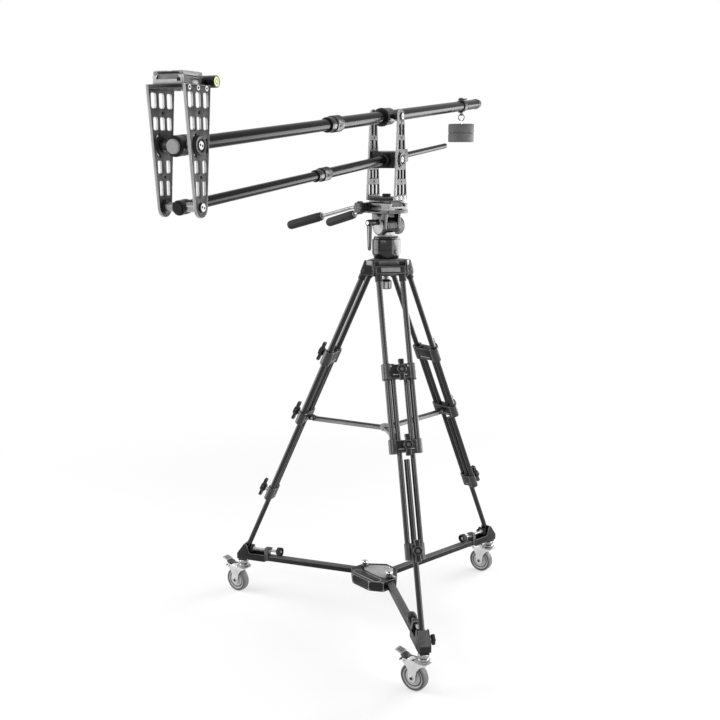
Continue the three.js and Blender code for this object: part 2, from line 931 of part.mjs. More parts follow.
function legOuter(group, side) {
  const halfYoke = leg.yokeWidth / 2;
  const thickYoke = leg.yokeThickness / 2;
  const yoke = boxBetween(-thickYoke, thickYoke, -halfYoke, halfYoke, -leg.yokeBelow, leg.yokeAbove);
  const pin = barY(leg.pinRadius, -leg.pinReach, leg.pinReach, 0, 0, sides.rod);
  const stopLow = -leg.stopPlace - leg.stopLength / 2;
  const halfStop = leg.stopWidth / 2;
  const thickStop = leg.stopThickness / 2;
  const stop = boxBetween(-thickStop, thickStop, -halfStop, halfStop, stopLow, stopLow + leg.stopLength);
  const tubes = [-1, 1].map((way) => {
    return barZ(leg.outerTube, stopLow + overrun, 0, 0, (way * leg.outerSpacing) / 2, sides.rod);
  });
  const bores = [-1, 1].map((way) => {
    const y = (way * leg.middleSpacing) / 2;
    return barZ(leg.middleTube + running, stopLow - overrun, stopLow + leg.stopLength + overrun, 0, y, sides.rod);
  });
  const body = join(yoke, pin, stop, ...tubes, ...wingKnob(thickStop, -leg.stopPlace));
  piece(`leg_outer_${side}`, cut(body, ...bores), 'blackTube', group);
}

function legMiddle(group, side) {
  const slideLow = -leg.slidePlace - leg.slideLength / 2;
  const slideHigh = slideLow + leg.slideLength;
  const halfSlide = leg.slideWidth / 2;
  const thickSlide = leg.slideThickness / 2;
  const slide = boxBetween(-thickSlide, thickSlide, -halfSlide, halfSlide, slideLow, slideHigh);
  const clampLow = -leg.clampPlace - leg.clampLength / 2;
  const clampHigh = clampLow + leg.clampLength;
  const halfClamp = leg.clampWidth / 2;
  const thickClamp = leg.clampThickness / 2;
  const clamp = boxBetween(-thickClamp, thickClamp, -halfClamp, halfClamp, clampLow, clampHigh);
  const tubes = [-1, 1].map((way) => {
    const y = (way * leg.middleSpacing) / 2;
    return barZ(leg.middleTube, clampLow + overrun, slideHigh - overrun, 0, y, sides.rod);
  });
  const bores = [-1, 1].map((way) => {
    const y = (way * leg.outerSpacing) / 2;
    return barZ(leg.outerTube + running, slideLow - overrun, slideHigh + overrun, 0, y, sides.rod);
  });
  bores.push(barZ(leg.lowerTube + running, clampLow - overrun, clampHigh + overrun, 0, 0, sides.rod));
  const knobs = [...wingKnob(thickSlide, -leg.slidePlace), ...wingKnob(thickClamp, -leg.clampPlace)];
  const body = join(slide, clamp, ...tubes, ...knobs);
  piece(`leg_middle_${side}`, cut(body, ...bores), 'blackTube', group);
}

function legLower(group, side) {
  const rubberTop = -legLength + leg.rubberLength;
  const tube = barZ(leg.lowerTube, rubberTop - overrun, -leg.lowerTop, 0, 0, sides.rod);
  const rubber = barZ(leg.rubberRadius, -legLength, rubberTop, 0, 0, sides.rod);
  piece(`leg_lower_${side}`, join(tube, rubber), 'blackTube', group);
}

function tripodLeg(rig, side) {
  const frame = groupAt(`leg_${side}_plan`, rig, 0, 0, 0);
  frame.rotation.z = armTurns[side];
  const group = groupAt(`leg_${side}_hinge`, frame, leg.hingeRadius, 0, leg.hingeHeight);
  group.rotation.y = -legLean;
  legOuter(group, side);
  legMiddle(group, side);
  legLower(group, side);
}

// Crown with its bowl and the lugs that carry the legs' hinge pins

function tripodCrown(rig) {
  const outline = [];
  const lugs = [];
  const hollows = [];
  const lugProfile = [
    [0, crown.bottom],
    [crown.lugReach, crown.bottom],
    [crown.lugReach, crown.bottom + crown.lugShoulder],
    [crown.lugTopReach, crown.top],
    [0, crown.top],
  ];
  for (const turn of Object.values(armTurns)) {
    for (const way of [-1, 1]) {
      const corner = new THREE.Vector2(crown.face, way * crown.halfWidth).rotateAround(new THREE.Vector2(), turn);
      outline.push([corner.x, corner.y]);
      const [low, high] = [way * crown.lugInner, way * (crown.lugInner + crown.lugThickness)].sort((a, b) => a - b);
      lugs.push(slabY(lugProfile, low, high).rotateZ(turn));
    }
    const halfPin = leg.pinReach + gap;
    const reach = crown.lugReach + overrun;
    const half = crown.lugInner;
    const panelMiddle = (crown.flangeBottom + crown.top) / 2;
    const panelLow = panelMiddle - crown.panelHeight / 2;
    const tools = [
      barY(leg.pinRadius + running, -halfPin, halfPin, leg.hingeRadius, leg.hingeHeight, sides.rod),
      boxBetween(crown.yokeFace, reach, -half, half, crown.bottom - overrun, crown.flangeBottom),
      boxBetween(crown.face, reach, -half, half, crown.bottom - overrun, crown.top + overrun),
      boxBetween(
        crown.face - crown.panelDepth,
        reach,
        -crown.panelWidth / 2,
        crown.panelWidth / 2,
        panelLow,
        panelLow + crown.panelHeight,
      ),
    ];
    hollows.push(...tools.map((tool) => tool.rotateZ(turn)));
  }
  outline.sort((a, b) => Math.atan2(a[1], a[0]) - Math.atan2(b[1], b[0]));
  const block = slabZ(outline, crown.bottom, crown.top);
  hollows.push(barZ(crown.bowlRadius, crown.bowlFloor, crown.top + overrun, 0, 0, sides.drum));
  hollows.push(barZ(crown.boltHole, crown.bottom - overrun, crown.bowlFloor + overrun, 0, 0, sides.rod));
  piece('tripod_crown', cut(join(block, ...lugs), ...hollows), 'casting', rig);
}

// Mid-level spreader: a hub with three flat arms to the legs' stop castings
function midSpreader(rig) {
  const arms = Object.values(armTurns).map((turn) => {
    const halfThick = leg.stopThickness / 2;
    const armZ = spreader.place + spreader.armRise;
    const place = (leg.hingeHeight - armZ - halfThick * Math.sin(legLean)) / Math.cos(legLean);
    const face = leg.hingeRadius + place * Math.sin(legLean) - halfThick * Math.cos(legLean);
    const reach = face - gap - (spreader.armThickness / 2) * Math.tan(legLean);
    const half = spreader.armThickness / 2;
    const profile = [
      [0, spreader.place - half],
      [reach, armZ - half],
      [reach, armZ + half],
      [0, spreader.place + half],
    ];
    return slabY(profile, -spreader.armWidth / 2, spreader.armWidth / 2).rotateZ(turn);
  });
  const low = spreader.place - spreader.hubHeight / 2;
  const centre = barZ(spreader.hubRadius, low, low + spreader.hubHeight, 0, 0, sides.rod);
  piece('mid_spreader', join(centre, ...arms), 'casting', rig);
}

function bowlClampKnob(rig) {
  const boltTop = head.baseBottom - gap;
  const outline = [
    [0, bowlKnob.bottom],
    [bowlKnob.radius - bowlKnob.bevel, bowlKnob.bottom],
    [bowlKnob.radius, bowlKnob.bottom + bowlKnob.bevel],
    [bowlKnob.radius, bowlKnob.gripTop],
    [bowlKnob.neckRadius, bowlKnob.neckTop],
    [bowlKnob.washerRadius, bowlKnob.neckTop],
    [bowlKnob.washerRadius, crown.bottom - gap],
    [bowlKnob.boltRadius, crown.bottom - gap],
    [bowlKnob.boltRadius, boltTop],
    [0, boltTop],
  ];
  piece('bowl_knob', turned(outline, sides.rod), 'blackPlastic', rig);
}

// Fluid head. In its own frame X is the plate's long way and Y is the tilt axis.

function headBase(rig) {
  const outline = [
    [0, head.baseBottom],
    [head.baseFoot, head.baseBottom],
    [head.baseFoot, crown.top + overrun],
    [head.baseRadius, head.baseTaperTop],
    [head.baseRadius, head.baseTop - head.baseBevel],
    [head.baseRadius - head.baseBevel, head.baseTop],
    [0, head.baseTop],
  ];
  piece('head_base', turned(outline, sides.drum), 'headPaint', rig);
}

function panBody(group) {
  const table = barZ(head.turntableRadius, head.baseTop + gap, head.turntableTop, 0, 0, sides.drum);
  const neck = boxBetween(
    -head.neckLength / 2,
    head.neckLength / 2,
    -head.neckWidth / 2,
    head.neckWidth / 2,
    head.turntableTop - overrun,
    head.axisHeight,
  );
  const drum = barY(head.drumRadius, -head.drumHalf, head.drumHalf, 0, head.axisHeight, sides.drum);
  const shaft = barY(head.shaftRadius, -head.shaftHalf, head.shaftHalf, 0, head.axisHeight, sides.rod);
  piece('pan_body', join(table, neck, drum, shaft), 'headPaint', group);
}

function dovetail(footWidth, neckWidth, low, high, grow) {
  return [
    [-footWidth / 2 - grow, low - grow],
    [footWidth / 2 + grow, low - grow],
    [neckWidth / 2 + grow, high],
    [-neckWidth / 2 - grow, high],
  ];
}

function tiltCradle(group) {
  const cheekOutline = [];
  for (let i = 0; i <= sides.small; i += 1) {
    const angle = Math.PI + (Math.PI * i) / sides.small;
    cheekOutline.push([head.cheekEye * Math.cos(angle), head.axisHeight + head.cheekEye * Math.sin(angle)]);
  }
  cheekOutline.push([head.cheekLength / 2, head.platformBottom]);
  cheekOutline.push([head.cheekLength / 2, head.platformBottom + overrun]);
  cheekOutline.push([-head.cheekLength / 2, head.platformBottom + overrun]);
  cheekOutline.push([-head.cheekLength / 2, head.platformBottom]);
  const cheeks = [-1, 1].map((way) => {
    const inner = way * head.cheekInner;
    const outer = way * (head.cheekInner + head.cheekThickness);
    return slabY(cheekOutline, Math.min(inner, outer), Math.max(inner, outer));
  });
  const platform = boxBetween(
    -head.platformLength / 2,
    head.platformLength / 2,
    -head.platformWidth / 2,
    head.platformWidth / 2,
    head.platformBottom,
    head.platformTop,
  );
  const clamp = boxBetween(
    -head.clampLength / 2,
    head.clampLength / 2,
    -head.clampWidth / 2,
    head.clampWidth / 2,
    head.platformTop - overrun,
    head.clampTop,
  );
  const rosettes = [-1, 1].map((way) => {
    const inner = way * (head.cheekInner + head.cheekThickness / 2);
    const outer = way * head.rosetteOuter;
    const [low, high] = [Math.min(inner, outer), Math.max(inner, outer)];
    return barY(head.rosetteRadius, low, high, -head.rosetteBack, head.rosetteHeight, sides.drum);
  });
  const channel = slabX(
    dovetail(head.plateFootWidth, head.plateNeckWidth, head.channelFloor, head.clampTop + gap, gap),
    -head.clampLength / 2 - overrun,
    head.clampLength / 2 + overrun,
  );
  const shaftHole = barY(
    head.shaftRadius + running,
    -head.shaftHalf - gap,
    head.shaftHalf + gap,
    0,
    head.axisHeight,
    sides.rod,
  );
  const underSlot = boxBetween(
    head.clampLength / 2 - head.endSlotDepth,
    head.clampLength / 2 + head.platformLength,
    -head.endSlotWidth / 2,
    head.endSlotWidth / 2,
    head.platformTop + gap,
    head.platformTop + head.endSlotHeight,
  );
  const outside = head.cheekInner + head.cheekThickness;
  const trims = [barY(head.capRadius, -outside - head.capDepth, overrun - outside, 0, head.axisHeight, sides.drum)];
  for (let i = 0; i < head.rings; i += 1) {
    const start = outside + 2 * i * head.ringStep;
    const ringEnd = start + 2 * head.ringStep;
    trims.push(barY(head.ringWaist, start - overrun, ringEnd, 0, head.axisHeight, sides.drum));
    trims.push(barY(head.ringRadius, ringEnd - head.ringStep, ringEnd, 0, head.axisHeight, sides.drum));
  }
  trims.push(barY(head.leverBoss, -head.leverReach, overrun - outside, 0, head.leverHeight, sides.rod));
  const body = join(platform, clamp, ...cheeks, ...rosettes, ...trims);
  piece('tilt_cradle', cut(body, channel, shaftHole, underSlot), 'aluminium', group);
}

function headPlate(group) {
  const half = head.plateLength / 2;
  const profile = [
    [-head.plateFootWidth / 2, head.channelFloor],
    [head.plateFootWidth / 2, head.channelFloor],
    [head.plateNeckWidth / 2, head.clampTop],
    [head.plateEdge / 2, head.clampTop + running],
    [head.plateEdge / 2, head.plateTop],
    [-head.plateEdge / 2, head.plateTop],
    [-head.plateEdge / 2, head.clampTop + running],
    [-head.plateNeckWidth / 2, head.clampTop],
  ];
  const slotMiddle = (head.clampTop + head.plateTop) / 2;
  const slot = boxBetween(
    half - head.endSlotDepth,
    half + overrun,
    -head.endSlotWidth / 2,
    head.endSlotWidth / 2,
    slotMiddle - head.endSlotHeight / 2,
    slotMiddle + head.endSlotHeight / 2,
  );
  piece('quick_plate', cut(slabX(profile, -half, half), slot), 'headPaint', group);
}

// A pan handle from its rosette: straight back, then bent down and aside, with a foam grip on its end
function panHandle(group, side, way, splayAngle) {
  const hubInner = way * (head.rosetteOuter + gap);
  const hubOuter = way * (head.rosetteOuter + gap + head.handleHub);
  const y = (hubInner + hubOuter) / 2;
  const frame = groupAt(`handle_${side}_axis`, group, -head.rosetteBack, y, head.rosetteHeight);
  const half = Math.abs(hubOuter - hubInner) / 2;
  const hubDisc = barY(head.rosetteRadius, -half, half, 0, 0, sides.drum);
  const straight = barX(head.handleRod, -head.handleStraight, 0, 0, 0, sides.rod);
  const splay = radians(splayAngle);
  const slope = radians(head.handleSlope);
  const place = (geometry) => {
    return geometry.rotateY(-slope).rotateZ(splay).translate(-head.handleStraight, 0, 0);
  };
  const elbow = new THREE.SphereGeometry(head.handleRod, sides.rod, sides.small).translate(-head.handleStraight, 0, 0);
  const rod = place(barX(head.handleRod, -head.handleLength, 0, 0, 0, sides.rod));
  const gripEnd = -head.handleLength - head.gripLength;
  const gripOutline = [
    [0, gripEnd],
    [head.gripRadius - head.gripRound, gripEnd],
    [head.gripRadius, gripEnd + head.gripRound],
    [head.gripRadius, -head.handleLength - head.gripRound],
    [head.gripRadius - head.gripRound, -head.handleLength + overrun],
    [0, -head.handleLength + overrun],
  ];
  const grip = place(turnedX(gripOutline, sides.rod));
  piece(`pan_handle_${side}`, join(hubDisc, straight, elbow, rod, grip), 'foam', frame);
  const knobInner = way * (half + gap);
  const knobOuter = way * (half + gap + head.knobDepth);
  const knob = barY(head.knobRadius, Math.min(knobInner, knobOuter), Math.max(knobInner, knobOuter), 0, 0, sides.rod);
  piece(`handle_knob_${side}`, knob, 'blackPlastic', frame);
}

function tiltLever(group) {
  const frame = groupAt('tilt_lever_axis', group, 0, -head.leverReach - gap, head.leverHeight);
  const outline = [
    [-head.leverTopWidth / 2, 0],
    [-head.leverTipWidth / 2, -head.leverLength],
    [head.leverTipWidth / 2, -head.leverLength],
    [head.leverTopWidth / 2, 0],
  ];
  const far = -head.leverHubDepth;
  const disc = barY(head.leverHubRadius, far, 0, 0, 0, sides.rod);
  const arm = slabY(outline, -head.leverThickness - overrun, -overrun);
  piece('tilt_lever', join(disc, arm), 'blackPlastic', frame);
}

function fluidHead(rig) {
  headBase(rig);
  const pan = groupAt('head_pan_axis', rig, 0, 0, 0);
  pan.rotation.z = radians(head.turn);
  panBody(pan);
  const tilt = groupAt('head_tilt_axis', pan, 0, 0, 0);
  groupAt('head_tilt_centre', pan, 0, 0, head.axisHeight);
  tiltCradle(tilt);
  headPlate(tilt);
  panHandle(tilt, 'near', -1, head.nearSplay);
  panHandle(tilt, 'far', 1, head.farSplay);
  tiltLever(tilt);
}

// Jib side plate: wide end at zero, middle pivot, then the rounded end. All four are alike.

const plateLength = jib.plateFoot + jib.pivotSpacing;

function slotHole(x, width, low, high) {
  const hole = new THREE.Path();
  const half = width / 2;
  const corner = half / 2;
  hole.moveTo(x - half, low + corner);
  hole.lineTo(x - half, high - corner);
  hole.lineTo(x - half + corner, high);
  hole.lineTo(x + half - corner, high);
  hole.lineTo(x + half, high - corner);
  hole.lineTo(x + half, low + corner);
  hole.lineTo(x + half - corner, low);
  hole.lineTo(x - half + corner, low);
  hole.closePath();
  return hole;
}

function roundHole(z, radius) {
  const hole = new THREE.Path();
  hole.absarc(0, z, radius, 0, Math.PI * 2, true);
  return hole;
}

function plateOutline() {
  const lean = Math.asin((jib.plateWidth / 2 - jib.tipRadius) / plateLength);
  const points = [[-jib.plateWidth / 2, 0]];
  points.push([jib.plateWidth / 2, 0]);
  const steps = sides.small;
  for (let i = 0; i <= steps; i += 1) {
    const angle = lean + ((Math.PI - 2 * lean) * i) / steps;
    points.push([jib.tipRadius * Math.cos(angle), plateLength + jib.tipRadius * Math.sin(angle)]);
  }
  return points;
}

function plateHoles() {
  const holes = [];
  for (const step of [-1, 0, 1]) {
    holes.push(slotHole(step * plateCuts.wideSlotPitch, plateCuts.wideSlotWidth, ...plateCuts.firstRow));
    holes.push(slotHole(step * plateCuts.midSlotPitch, plateCuts.midSlotWidth, ...plateCuts.secondRow));
  }
  for (const way of [-1, 1]) {
    holes.push(slotHole((way * plateCuts.sideSlotPitch) / 2, plateCuts.sideSlotWidth, ...plateCuts.sideRow));
    holes.push(slotHole((way * plateCuts.thirdSlotPitch) / 2, plateCuts.thirdSlotWidth, ...plateCuts.thirdRow));
    holes.push(slotHole((way * plateCuts.fourthSlotPitch) / 2, plateCuts.fourthSlotWidth, ...plateCuts.fourthRow));
  }
  const pivot = jib.trunnionRadius + jib.trunnionClearance;
  for (const place of plateCuts.smallHolePlaces) {
    holes.push(roundHole(place, plateCuts.smallHole));
  }
  holes.push(roundHole(jib.plateFoot, pivot));
  holes.push(roundHole(plateLength, pivot));
  return holes;
}

function sidePlate(name, group, way, flip) {
  const inner = way * (jib.innerGap / 2);
  const outer = way * (jib.innerGap / 2 + jib.plateThickness);
  const slab = slabY(plateOutline(), Math.min(inner, outer), Math.max(inner, outer), plateHoles(), sides.small);
  const ringEnd = way * (jib.innerGap / 2 + jib.plateThickness + jib.bossRingDepth);
  const bury = (way * overrun) / 2;
  const spans = [
    [jib.bossRingOuter, outer - bury, ringEnd],
    [jib.bossRingInner, outer - 2 * bury, ringEnd + bury],
  ];
  const ring = spans.map(([radius, start, end]) => {
    return barY(radius, Math.min(start, end), Math.max(start, end), 0, jib.plateFoot, 2 * sides.small);
  });
  const boss = cut(ring[0], ring[1]);
  const plate = join(slab, boss);
  const shaped = flip ? plate.rotateX(Math.PI) : plate;
  piece(name, shaped, 'platePaint', group);
}

// A pivot across the plates: shoulders inside, trunnions through the plates and screw heads outside
function crossPivot(start) {
  const inner = jib.innerGap / 2 - gap;
  const outer = jib.innerGap / 2 + jib.plateThickness + gap;
  const head = outer + jib.screwHeadDepth;
  const parts = [];
  for (const way of [-1, 1]) {
    const spans = [
      [jib.shoulderRadius, inner - jib.shoulderThickness, inner, sides.rod],
      [jib.trunnionRadius, start, head - jib.screwHeadDepth / 2, 2 * sides.small],
      [jib.screwHeadRadius, outer, head, sides.rod],
    ];
    for (const [radius, low, high, count] of spans) {
      parts.push(barY(radius, Math.min(way * low, way * high), Math.max(way * low, way * high), 0, 0, count));
    }
  }
  return parts;
}

function boomSleeve(group) {
  const body = turnedX(
    [
      [0, -boom.sleeveFront],
      [boom.sleeveFlange, -boom.sleeveFront],
      [boom.sleeveFlange, -boom.sleeveFront + boom.flangeLength],
      [boom.sleeveRadius, -boom.sleeveFront + boom.flangeLength],
      [boom.sleeveRadius, boom.sleeveBack],
      [0, boom.sleeveBack],
    ],
    sides.tube,
  );
  const bore = barX(
    boom.rearTube + running,
    -boom.sleeveFront - overrun,
    boom.sleeveBack + overrun,
    0,
    0,
    sides.tube,
  );
  piece('boom_sleeve', cut(join(body, ...crossPivot(boom.sleeveRadius / 2)), bore), 'blackPlastic', group);
}

function hollowTube(outer, inner, x0, x1) {
  const outline = ringOutline(
    [
      [outer, x0],
      [outer, x1],
    ],
    [
      [inner, x1],
      [inner, x0],
    ],
  );
  return turnedX(outline, sides.tube);
}

// A twist collar: smooth ring in front, ribbed grip behind, closing down on the inner tube at its lip
function twistCollar(name, group, size) {
  const outline = ringOutline(
    [
      [size.collarSmooth, -size.collarFront],
      [size.collarSmooth, -size.collarStep],
      [size.collarRibbed, -size.collarStep],
      [size.collarRibbed, -size.collarBack - size.collarChamfer],
      [size.collarSmooth, -size.collarBack],
    ],
    [
      [size.rearTube + running, -size.collarBack],
      [size.rearTube + running, -size.collarLip],
      [size.frontTube + running, -size.collarLip],
      [size.frontTube + running, -size.collarFront],
    ],
  );
  const frame = groupAt(`${name}_axis`, group, 0, 0, 0);
  piece(name, turnedX(outline, sides.tube), 'blackPlastic', frame);
}

function boomRear(group) {
  const tube = hollowTube(boom.rearTube, boom.rearBore, -boom.rearTubeFront, boom.rearTubeBack);
  piece('boom_rear_tube', tube, 'blackTube', group);
  twistCollar('boom_collar', group, boom);
  const start = boom.rearTubeBack + gap;
  const cap = turnedX(
    [
      [0, start - boom.capSpigot],
      [boom.rearBore - gap, start - boom.capSpigot],
      [boom.rearBore - gap, start],
      [boom.capRing, start],
      [boom.capRing, start + boom.capRingLength],
      [boom.capRadius, start + boom.capRingLength],
      [boom.capRadius, jib.rearReach - boom.capRingLength],
      [boom.capTipRadius, jib.rearReach],
      [0, jib.rearReach],
    ],
    sides.tube,
  );
  piece('boom_end_cap', cap, 'blackPlastic', group);
}

// A front tube: hollow behind, a plug at the front, and the ring and cross shaft that turn in the camera frame
function frontTube(name, group, size, ringRadius, ringHalf) {
  const front = -jib.frontReach - size.frontStub;
  const hollow = turnedX(
    [
      [0, front],
      [size.frontTube, front],
      [size.frontTube, -size.frontTubeBack],
      [size.frontBore, -size.frontTubeBack],
      [size.frontBore, front + size.plugLength],
      [0, front + size.plugLength],
    ],
    sides.tube,
  );
  const ring = barX(ringRadius, -ringHalf, ringHalf, 0, 0, sides.tube);
  const cross = [ring, ...crossPivot(0)].map((part) => moved(part, -jib.frontReach, 0, 0));
  const bore = barX(
    size.frontBore,
    front + size.plugLength,
    -size.frontTubeBack + overrun,
    0,
    0,
    sides.tube,
  );
  piece(name, cut(join(hollow, ...cross), bore), 'blackTube', group);
}

// Counterweight clamp, its ring and the stacked discs

function weightClamp(group) {
  const x0 = ballast.clampPlace - ballast.clampLength / 2;
  const x1 = x0 + ballast.clampLength;
  const half = ballast.clampWidth / 2;
  const block = boxBetween(x0, x1, -half, half, -ballast.clampBottom, ballast.clampTop);
  const lever = boxBetween(
    ballast.clampPlace - ballast.leverWidth / 2,
    ballast.clampPlace + ballast.leverWidth / 2,
    -half,
    -half + ballast.leverLength,
    ballast.clampTop - overrun,
    ballast.clampTop + ballast.leverHeight,
  );
  const lug = boxBetween(
    ballast.clampPlace - ballast.lugLength / 2,
    ballast.clampPlace + ballast.lugLength / 2,
    -ballast.lugThickness / 2,
    ballast.lugThickness / 2,
    -ballast.lugDrop,
    -ballast.clampBottom + overrun,
  );
  const bore = barX(boom.rearTube + running, x0 - overrun, x1 + overrun, 0, 0, sides.tube);
  const eye = barY(ballast.eyeRadius, -half, half, ballast.clampPlace, -ballast.eyePlace, sides.small);
  piece('weight_clamp', cut(join(block, lever, lug), bore, eye), 'casting', group);
}

function counterweight(group) {
  const swing = groupAt('weight_swing_axis', group, ballast.clampPlace, 0, -ballast.eyePlace);
  swing.rotation.y = radians(jib.boomRise);
  const ring = new THREE.TorusGeometry(ballast.ringRadius, ballast.wireRadius, sides.small, sides.tube);
  ring.rotateY(Math.PI / 2).translate(0, 0, -ballast.ringRadius - ballast.wireSag);
  piece('weight_ring', ring, 'zinc', swing);
  const eyeZ = -2 * ballast.ringRadius - 2 * ballast.wireSag;
  const top = -ballast.weightTop;
  const seam = top - ballast.discHeight;
  const bottom = top - 2 * ballast.discHeight;
  const halfSeam = ballast.seamHeight / 2;
  const discs = turned(
    [
      [0, bottom],
      [ballast.weightRadius, bottom],
      [ballast.weightRadius, seam - halfSeam],
      [ballast.weightRadius - ballast.seamDepth, seam - halfSeam],
      [ballast.weightRadius - ballast.seamDepth, seam + halfSeam],
      [ballast.weightRadius, seam + halfSeam],
      [ballast.weightRadius, top],
      [0, top],
    ],
    sides.drum,
  );
  const lug = boxBetween(
    -ballast.lugLength / 2,
    ballast.lugLength / 2,
    -ballast.lugThickness / 2,
    ballast.lugThickness / 2,
    top - overrun,
    eyeZ + ballast.weightEyeTop,
  );
  const half = ballast.lugThickness;
  const eye = barY(ballast.eyeRadius, -half, half, 0, eyeZ, sides.small);
  piece('counterweight', cut(join(discs, lug), eye), 'iron', swing);
}

// Lower arm: pivot block in the bracket, rear tube with its stop block, collar and front tube

function lowerBlock(group) {
  const halfLength = lowerArm.blockLength / 2;
  const halfHeight = lowerArm.blockHeight / 2;
  const halfWidth = jib.innerGap / 2 - gap;
  const block = boxBetween(-halfLength, halfLength, -halfWidth, halfWidth, -halfHeight, halfHeight);
  const ring = barX(lowerArm.ringRadius, -halfLength - lowerArm.ringLength, 0, 0, 0, sides.tube);
  const bore = barX(
    lowerArm.rearTube + running,
    -halfLength - lowerArm.ringLength - overrun,
    halfLength + overrun,
    0,
    0,
    sides.tube,
  );
  const pivots = crossPivot(jib.innerGap / 2 - overrun);
  piece('lower_block', cut(join(block, ring, ...pivots), bore), 'blackPlastic', group);
}

function lowerRear(group) {
  const stopEnd = lowerArm.stopFront + lowerArm.stopLength;
  const outer = [
    [lowerArm.rearTube, -lowerArm.rearTubeFront],
    [lowerArm.rearTube, stopEnd],
    [lowerArm.rodRadius, stopEnd],
    [lowerArm.rodRadius, lowerArm.rearTubeBack],
    [0, lowerArm.rearTubeBack],
  ];
  const inner = [
    [0, lowerArm.stopFront],
    [lowerArm.rearBore, lowerArm.stopFront],
    [lowerArm.rearBore, -lowerArm.rearTubeFront],
  ];
  const tube = turnedX(ringOutline(outer, inner), sides.tube);
  const halfWidth = lowerArm.stopWidth / 2;
  const halfHeight = lowerArm.stopHeight / 2;
  const stop = boxBetween(lowerArm.stopFront, stopEnd, -halfWidth, halfWidth, -halfHeight, halfHeight);
  const bore = barX(
    lowerArm.rearTube - overrun,
    lowerArm.stopFront - overrun,
    stopEnd - overrun,
    0,
    0,
    sides.tube,
  );
  piece('lower_rear_tube', join(tube, cut(stop, bore)), 'blackTube', group);
  twistCollar('lower_collar', group, lowerArm);
}

// Camera frame on the front of the arms: two plates, a platform, a quick-release clamp and its plate

function cameraPlatform(frame) {
  const halfLength = jib.plateWidth / 2;
  const halfWidth = jib.innerGap / 2 - gap;
  const top = jib.plateFoot;
  const low = top - cameraMount.platformThickness;
  piece('camera_platform', boxBetween(-halfLength, halfLength, -halfWidth, halfWidth, low, top), 'casting', frame);
}

function cameraClamp(frame) {
  const low = jib.plateFoot + gap;
  const high = low + cameraMount.clampHeight;
  const floor = high - cameraMount.channelDepth;
  const halfLength = cameraMount.clampLength / 2;
  const halfWidth = cameraMount.clampWidth / 2;
  const block = boxBetween(-halfLength, halfLength, -halfWidth, halfWidth, low, high);
  const earLow = low + (cameraMount.clampHeight - cameraMount.earHeight) / 2;
  const earEnd = halfLength + cameraMount.earLength;
  const halfEar = cameraMount.earWidth / 2;
  const ear = boxBetween(halfLength - overrun, earEnd, -halfEar, halfEar, earLow, earLow + cameraMount.earHeight);
  const channel = slabX(
    dovetail(cameraMount.plateFootWidth, cameraMount.plateNeckWidth, floor, high + gap, gap),
    -halfLength - overrun,
    earEnd + overrun,
  );
  const shaft = barY(
    cameraMount.knobShaft + running,
    -halfEar - overrun,
    halfEar + overrun,
    cameraMount.knobBack,
    low + cameraMount.clampHeight / 2,
    sides.rod,
  );
  piece('camera_clamp', cut(join(block, ear), channel, shaft), 'aluminium', frame);

  const plateHalf = cameraMount.plateLength / 2;
  const plateTop = floor + cameraMount.plateHeight;
  const profile = [
    [-cameraMount.plateFootWidth / 2, floor],
    [cameraMount.plateFootWidth / 2, floor],
    [cameraMount.plateNeckWidth / 2, high],
    [cameraMount.plateEdge / 2, high + running],
    [cameraMount.plateEdge / 2, plateTop],
    [-cameraMount.plateEdge / 2, plateTop],
    [-cameraMount.plateEdge / 2, high + running],
    [-cameraMount.plateNeckWidth / 2, high],
  ];
  const slotMiddle = (high + plateTop) / 2;
  const slot = boxBetween(
    -plateHalf - overrun,
    -plateHalf + cameraMount.slotDepth,
    -cameraMount.slotWidth / 2,
    cameraMount.slotWidth / 2,
    slotMiddle - cameraMount.slotHeight / 2,
    slotMiddle + cameraMount.slotHeight / 2,
  );
  piece('camera_plate', cut(slabX(profile, -plateHalf, plateHalf), slot), 'aluminium', frame);
}

function levelKnob(frame) {
  const z = jib.plateFoot + gap + cameraMount.clampHeight / 2;
  const axis = groupAt('level_knob_axis', frame, cameraMount.knobBack, 0, z);
  const earFace = cameraMount.earWidth / 2 + gap;
  const barrel = barY(cameraMount.knobRadius, -cameraMount.knobNear, -earFace, 0, 0, sides.tube);
  const shaft = barY(cameraMount.knobShaft, -earFace - overrun, cameraMount.knobShaftReach, 0, 0, sides.rod);
  piece('level_knob', join(barrel, shaft), 'blackPlastic', axis);
}

function cameraFrame(boomGroup) {
  const frame = groupAt('camera_frame_axis', boomGroup, -jib.frontReach, 0, 0);
  frame.rotation.y = radians(jib.boomRise);
  const plates = groupAt('camera_frame_plates', frame, 0, 0, jib.plateFoot);
  sidePlate('frame_plate_left', plates, -1, true);
  sidePlate('frame_plate_right', plates, 1, true);
  cameraPlatform(frame);
  cameraClamp(frame);
  levelKnob(frame);
}

function jibBracket(group) {
  const halfLength = jib.plateWidth / 2;
  const halfWidth = jib.innerGap / 2 - gap;
  const base = boxBetween(-halfLength, halfLength, -halfWidth, halfWidth, 0, jib.baseThickness);
  const bossTop = jib.baseThickness + jib.bossHeight;
  const boss = barZ(jib.bossRadius, jib.baseThickness - overrun, bossTop, 0, 0, sides.rod);
  piece('bracket_base', join(base, boss), 'casting', group);
  sidePlate('bracket_plate_left', group, 1, false);
  sidePlate('bracket_plate_right', group, -1, false);
}

